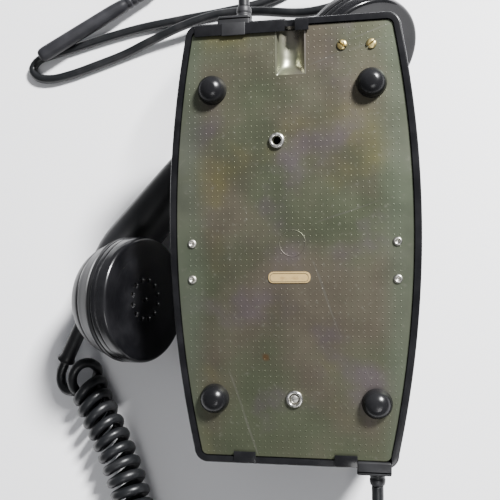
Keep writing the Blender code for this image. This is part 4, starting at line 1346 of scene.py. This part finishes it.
@dataclass
class Dial:
    """Rotary dial: can and bezel, printed number ring, finger wheel, centre card, finger stop."""

    place: Placement
    hole_radius: float = 6.4
    hole_circle: float = 26.0
    holes: int = 10
    first_hole: float = math.radians(200.0)
    step: float = math.radians(30.0)
    stop_angle: float = math.radians(140.0)

    def bearing(self, k: int) -> float:
        """Angle of the k-th finger hole."""
        return self.first_hole + k * self.step

    def wheel(self) -> None:
        """Finger wheel with chamfered holes and a raised rim."""
        front = self.place.front
        profile = [(0, 5.2), (34.0, 5.2), (34.9, 5.7), (35.0, 6.3), (34.4, 7.2), (33.4, 7.4), (32.6, 7.05),
                   (14.0, 7.05), (13.4, 7.4), (0, 7.4)]
        made = lathe("dial_wheel", rounded(profile, 0.4, 3), front, 128)
        r = self.hole_radius
        tool = rounded([(0, 4), (r + 0.7, 4), (r + 0.7, 5.0), (r, 5.7), (r, 6.5), (r + 0.7, 7.2),
                        (r + 0.7, 9), (0, 9)], 0.35, 3)
        for k in range(self.holes):
            spot = (self.hole_circle * math.cos(self.bearing(k)),
                    self.hole_circle * math.sin(self.bearing(k)), 0)
            cut(made, lathe("tool_finger_%d" % k, tool, front @ shift(*spot), 40))
        dress(settle(made), SHELL, "dial", ("finger_wheel",), 30)

    def number_ring(self) -> None:
        """Ivory number plate and its figures 1 to 9 and 0, one under each hole."""
        front = self.place.front
        section = rounded([(6, 3.0), (6, 3.4), (34.6, 3.4), (34.6, 2.6), (6, 2.6), (6, 3.0)], 0.15, 2)
        made = lathe("number_ring", section[:-1], front, 96, ring=True)
        dress(made, IVORY, "phone_body", ("number_plate",), 40)
        for k in range(self.holes):
            self.figure(str((k + 1) % 10), self.bearing(k))

    def figure(self, text: str, bearing: float) -> None:
        """One raised figure, upright to someone who faces the dial."""
        curve = bpy.data.curves.new("figure_curve", "FONT")
        curve.body = text
        curve.size = 6.4
        curve.align_x = "CENTER"
        curve.align_y = "CENTER"
        curve.extrude = 0.06
        curve.resolution_u = 3
        holder = bpy.data.objects.new("figure_holder", curve)
        bpy.context.scene.collection.objects.link(holder)
        bpy.context.view_layer.update()
        ready = holder.evaluated_get(bpy.context.evaluated_depsgraph_get())
        mesh = bpy.data.meshes.new_from_object(ready)
        points = np.empty(len(mesh.vertices) * 3)
        mesh.vertices.foreach_get("co", points)
        faces = [list(face.vertices) for face in mesh.polygons]
        bpy.data.objects.remove(holder)
        spot = shift(self.hole_circle * math.cos(bearing), self.hole_circle * math.sin(bearing), 3.47)
        where = self.place.front @ spot @ turn("Z", math.pi)
        made = mesh_piece("figure_" + text, points.reshape(-1, 3), faces, where)
        dress(made, INK, "phone_body", (), 30)

    def centre(self) -> None:
        """Steel centre cap with a plain card under a retaining ring."""
        front = self.place.front
        profile = rounded([(0, 7.7), (13.0, 7.7), (12.9, 8.3), (12.2, 8.9), (11.2, 9.0), (10.6, 8.75),
                           (0, 8.75)], 0.3, 4)
        dress(lathe("centre_cap", profile, front, 96), STEEL, "dial", ("wheel_cap",), 40)
        card = [(0, 8.7), (10.4, 8.7), (10.4, 8.85), (8.0, 8.9), (0, 9.1)]
        paper = Card("dial_card", "label", (0.74, 0.70, 0.58), (0.5, 0.45, 0.33))
        dress(lathe("centre_card", card, front, 96), paper, "dial", (), 40)

    def can(self) -> None:
        """Dial can whose flange is a rounded bezel on the front face."""
        section = rounded([(20.0, -18), (32, -18), (32, 0.3), (37.5, 0.3), (37.4, 1.5), (35.6, 2.3),
                           (31.2, 2.3), (30.6, 1.9), (30.6, -16.6), (3.6, -16.6), (3.6, -18),
                           (20.0, -18)], 0.5, 4)
        dress(lathe("dial_bezel", section[:-1], self.place.front, 128, ring=True), SHELL, "phone_body",
              ("dial_frame",), 35)

    def stop(self) -> None:
        """Bent steel finger stop: an upright foot outside the wheel and a hooked tongue over it."""
        where = self.place.front @ turn("Z", self.stop_angle)
        spine = smooth_line([(36.2, 2.6), (36.3, 5.0), (36.1, 7.4), (34.9, 8.45), (33.0, 8.5), (29.0, 8.4),
                             (25.0, 8.35), (22.2, 8.4)], 8)
        ahead = unit(np.gradient(spine, axis=0))
        out = np.column_stack([-ahead[:, 1], ahead[:, 0]])
        far = walked(spine) / walked(spine)[-1]
        width = 2.5 - 0.9 * np.clip((far - 0.25) / 0.75, 0, 1)
        half = 0.42
        corners = ((-1, -1), (1, -1), (1, 1), (-1, 1))
        rings = np.stack([np.column_stack([spine[:, 0] + side * half * out[:, 0], up * width,
                                           spine[:, 1] + side * half * out[:, 1]])
                          for side, up in corners], axis=1)
        made = loft("stop_tongue", rings, where)
        bevel = made.modifiers.new("edges", "BEVEL")
        bevel.width = 0.2 * MM
        bevel.segments = 3
        dress(settle(made), STEEL, "phone_body", ("finger_stop",), 40)

    def build(self) -> None:
        """Make the dial and dress the works behind it."""
        self.can()
        self.number_ring()
        self.wheel()
        self.centre()
        self.stop()
        refinish(BRASS, "main_gear", "governor_pinion", "governor_drum")
        refinish(DULL_STEEL, "dial_shaft", "return_spring")
        refinish(IVORY, "pulse_contacts")


@dataclass
class CradleHook:
    """The two sprung plungers in the ear well and the switch parts that they press."""

    place: Placement
    spots: tuple = ((-13.0, -64.0, "left"), (13.0, -64.0, "right"))

    def build(self) -> None:
        """Make the plungers and dress the parts inside."""
        profile = rounded([(0, -10), (4.9, -10), (4.9, -8.5), (3.5, -8.5), (3.5, 6.0), (3.3, 7.4),
                           (2.2, 8.7), (0, 9.0)], 0.6, 5)
        for x, y, side in self.spots:
            made = lathe("plunger_" + side, profile, self.place.front @ shift(x, y, 0), 48)
            dress(made, IVORY, "hook", ("hook_plunger_" + side,), 35)
        refinish(DULL_STEEL, "hook_bar", "hook_leaf_spring")
        refinish(IVORY, "contact_stack")


@dataclass
class Works:
    """Ringer, board and terminals inside the housing, which keep their plain shapes."""

    def build(self) -> None:
        """Dress the works."""
        refinish(STEEL, "gong_left", "gong_right", "clapper")
        refinish(BOARD, "circuit_board")
        refinish(WINDING, "transformer", "ringer_coil")
        refinish(IVORY, "capacitor", "terminal_block")


# ---------------------------------------------------------------- handset


@dataclass
class Handset:
    """Handset: one curved handle with a cup at each end, screwed caps, capsules and cord sleeve."""

    place: Placement
    cap_radius: float = 30.5
    sections: tuple = ((-16, -27, 6, 9), (-8, -31, 9, 12), (6, -35.5, 10.5, 13.5), (25, -37.8, 10, 13),
                       (50, -39.3, 9.5, 12.6), (80, -39.8, 9.5, 12.4), (110, -38.8, 9.5, 12.6),
                       (132, -35, 10, 13.4), (148, -30, 9.5, 14), (160, -26, 7, 12))
    sleeve: tuple = ((-113.3, -27.5, 18.7), (-125.0, -46.8, 10.2))

    def handle_rings(self) -> np.ndarray:
        """Oval sections: y = b |cos a|^0.8, z = centre + c |sin a|^0.8, eased between the given ones."""
        table = smooth_line(self.sections, 8)
        angles = np.linspace(0, 2 * math.pi, 56, endpoint=False)
        c = np.sign(np.cos(angles)) * np.abs(np.cos(angles)) ** 0.8
        s = np.sign(np.sin(angles)) * np.abs(np.sin(angles)) ** 0.8
        x, z, half_z, half_y = (table[:, k:k + 1] for k in range(4))
        return np.stack([x + 0 * c, half_y * c, z + half_z * s], axis=-1)

    def shell(self) -> None:
        """Handle and cups joined into one moulding, with the seams turned into the cups."""
        mouth, ear = self.place.mouth, self.place.ear
        made = loft("handset_body", self.handle_rings(), self.place.handset)
        neck = [(30.5, -11.6), (30.1, -11.2), (30.1, -10.7), (30.5, -10.3), (30.45, -9.4), (28.6, -9.3),
                (28.6, -2.9), (0, -2.9)]
        mouth_bowl = [(0, -37.0), (3.6, -36.8), (4.8, -35.3), (9, -34.4), (17, -31.8), (22.6, -28),
                      (25.6, -24), (27.0, -20.5), (26.6, -20.1), (27.3, -19.6), (28.7, -16), (30.1, -12.6)]
        ear_bowl = [(0, -28), (11, -27), (19, -24), (25.5, -19), (29.3, -14.5), (30.3, -12.2)]
        cups = (("mouth", mouth, mouth_bowl, -17.0), ("ear", ear, ear_bowl, -14.0))
        for name, where, back, floor in cups:
            bowl = smooth_line(back, 6)
            cut(made, lathe("tool_cup_" + name, np.vstack([bowl, neck]), where, 128), "UNION")
            pocket = [(0, floor), (26.4, floor), (26.4, 0), (0, 0)]
            cut(made, lathe("tool_pocket_" + name, pocket, where, 96))
        dress(settle(made), HANDLE, "handset", ("handset_shell",), 30)

    def cap(self, name: str, where: np.ndarray, rings: Sequence[tuple[float, int, float]]) -> None:
        """Screwed cap: knurl-free rim with a soft edge, slightly hollow face, chamfered sound holes.

        Args:
            name: "mouth" or "ear".
            where: Frame of the cap's face.
            rings: Sound holes as (circle radius, how many, hole radius).
        """
        r = self.cap_radius
        profile = [(0, -2.5), (28.9, -2.5), (28.9, -8.9), (29.4, -9.15), (r, -8.7), (r, -6.3),
                   (r - 0.22, -6.1), (r - 0.22, -5.8), (r, -5.6), (r, -2.0), (r - 0.35, -0.8),
                   (r - 1.3, -0.08), (r - 2.6, -0.12), (22.0, -0.75), (12.0, -1.1), (0, -1.2)]
        made = lathe(name + "_cap_face", rounded(profile, 0.5, 4), where, 160)
        for circle, count, radius in rings:
            for k in range(count):
                angle = 2 * math.pi * (k + 0.35) / count
                tool = [(0, -4), (radius, -4), (radius, -1.7), (radius + 0.6, -0.9), (radius + 0.6, 2),
                        (0, 2)]
                spot = shift(circle * math.cos(angle), circle * math.sin(angle), 0)
                cut(made, lathe("tool_%s_%d_%d" % (name, circle, k), tool, where @ spot, 20))
        dress(settle(made), SHELL, "handset", (name + "_cap",), 25)

    def cord_sleeve(self) -> None:
        """Rubber sleeve: slim ribbed neck with a flared, frayed lip."""
        start, end = (np.array(p) for p in self.sleeve)
        length = float(np.linalg.norm(end - start))
        where = self.place.table @ frame_from(start, end - start, np.array([0.0, 0.0, 1.0]))
        profile = [(0, -2.0), (3.4, -2.0), (3.55, 3.0), (3.7, 8.0), (3.75, length - 3.2), (4.0, length - 1.6),
                   (4.7, length - 0.4), (4.6, length), (4.0, length - 0.2), (3.2, length - 1.4),
                   (0, length - 1.6)]
        made = lathe("sleeve_lip", rounded(profile, 0.5, 4), where, 40)
        dress(made, GROMMET, "handset", ("handset_cord_sleeve",), 40)

    def build(self) -> None:
        """Make the handset."""
        self.shell()
        self.cap("mouth", self.place.mouth, ((9.6, 12, 0.95), (0.0, 1, 0.95)))
        self.cap("ear", self.place.ear, ((9.6, 12, 0.95), (4.8, 6, 0.95), (0.0, 1, 0.95)))
        self.cord_sleeve()
        refinish(DULL_STEEL, "transmitter_capsule", "receiver_capsule")


def main() -> None:
    """Build the studio, the cords and every sub-assembly in order."""
    logging.basicConfig(level=logging.INFO, format="%(name)s %(message)s")
    place = read_placement()
    shell = Shell()
    Studio(place).build()
    Glands(place, shell).build()
    LineCord(place).build()
    CurlyCord(place).build()
    Housing(place, shell).build()
    BackPlate(place, shell).build()
    Dial(place).build()
    CradleHook(place).build()
    Works().build()
    Handset(place).build()


if __name__ == "__main__":
    main()
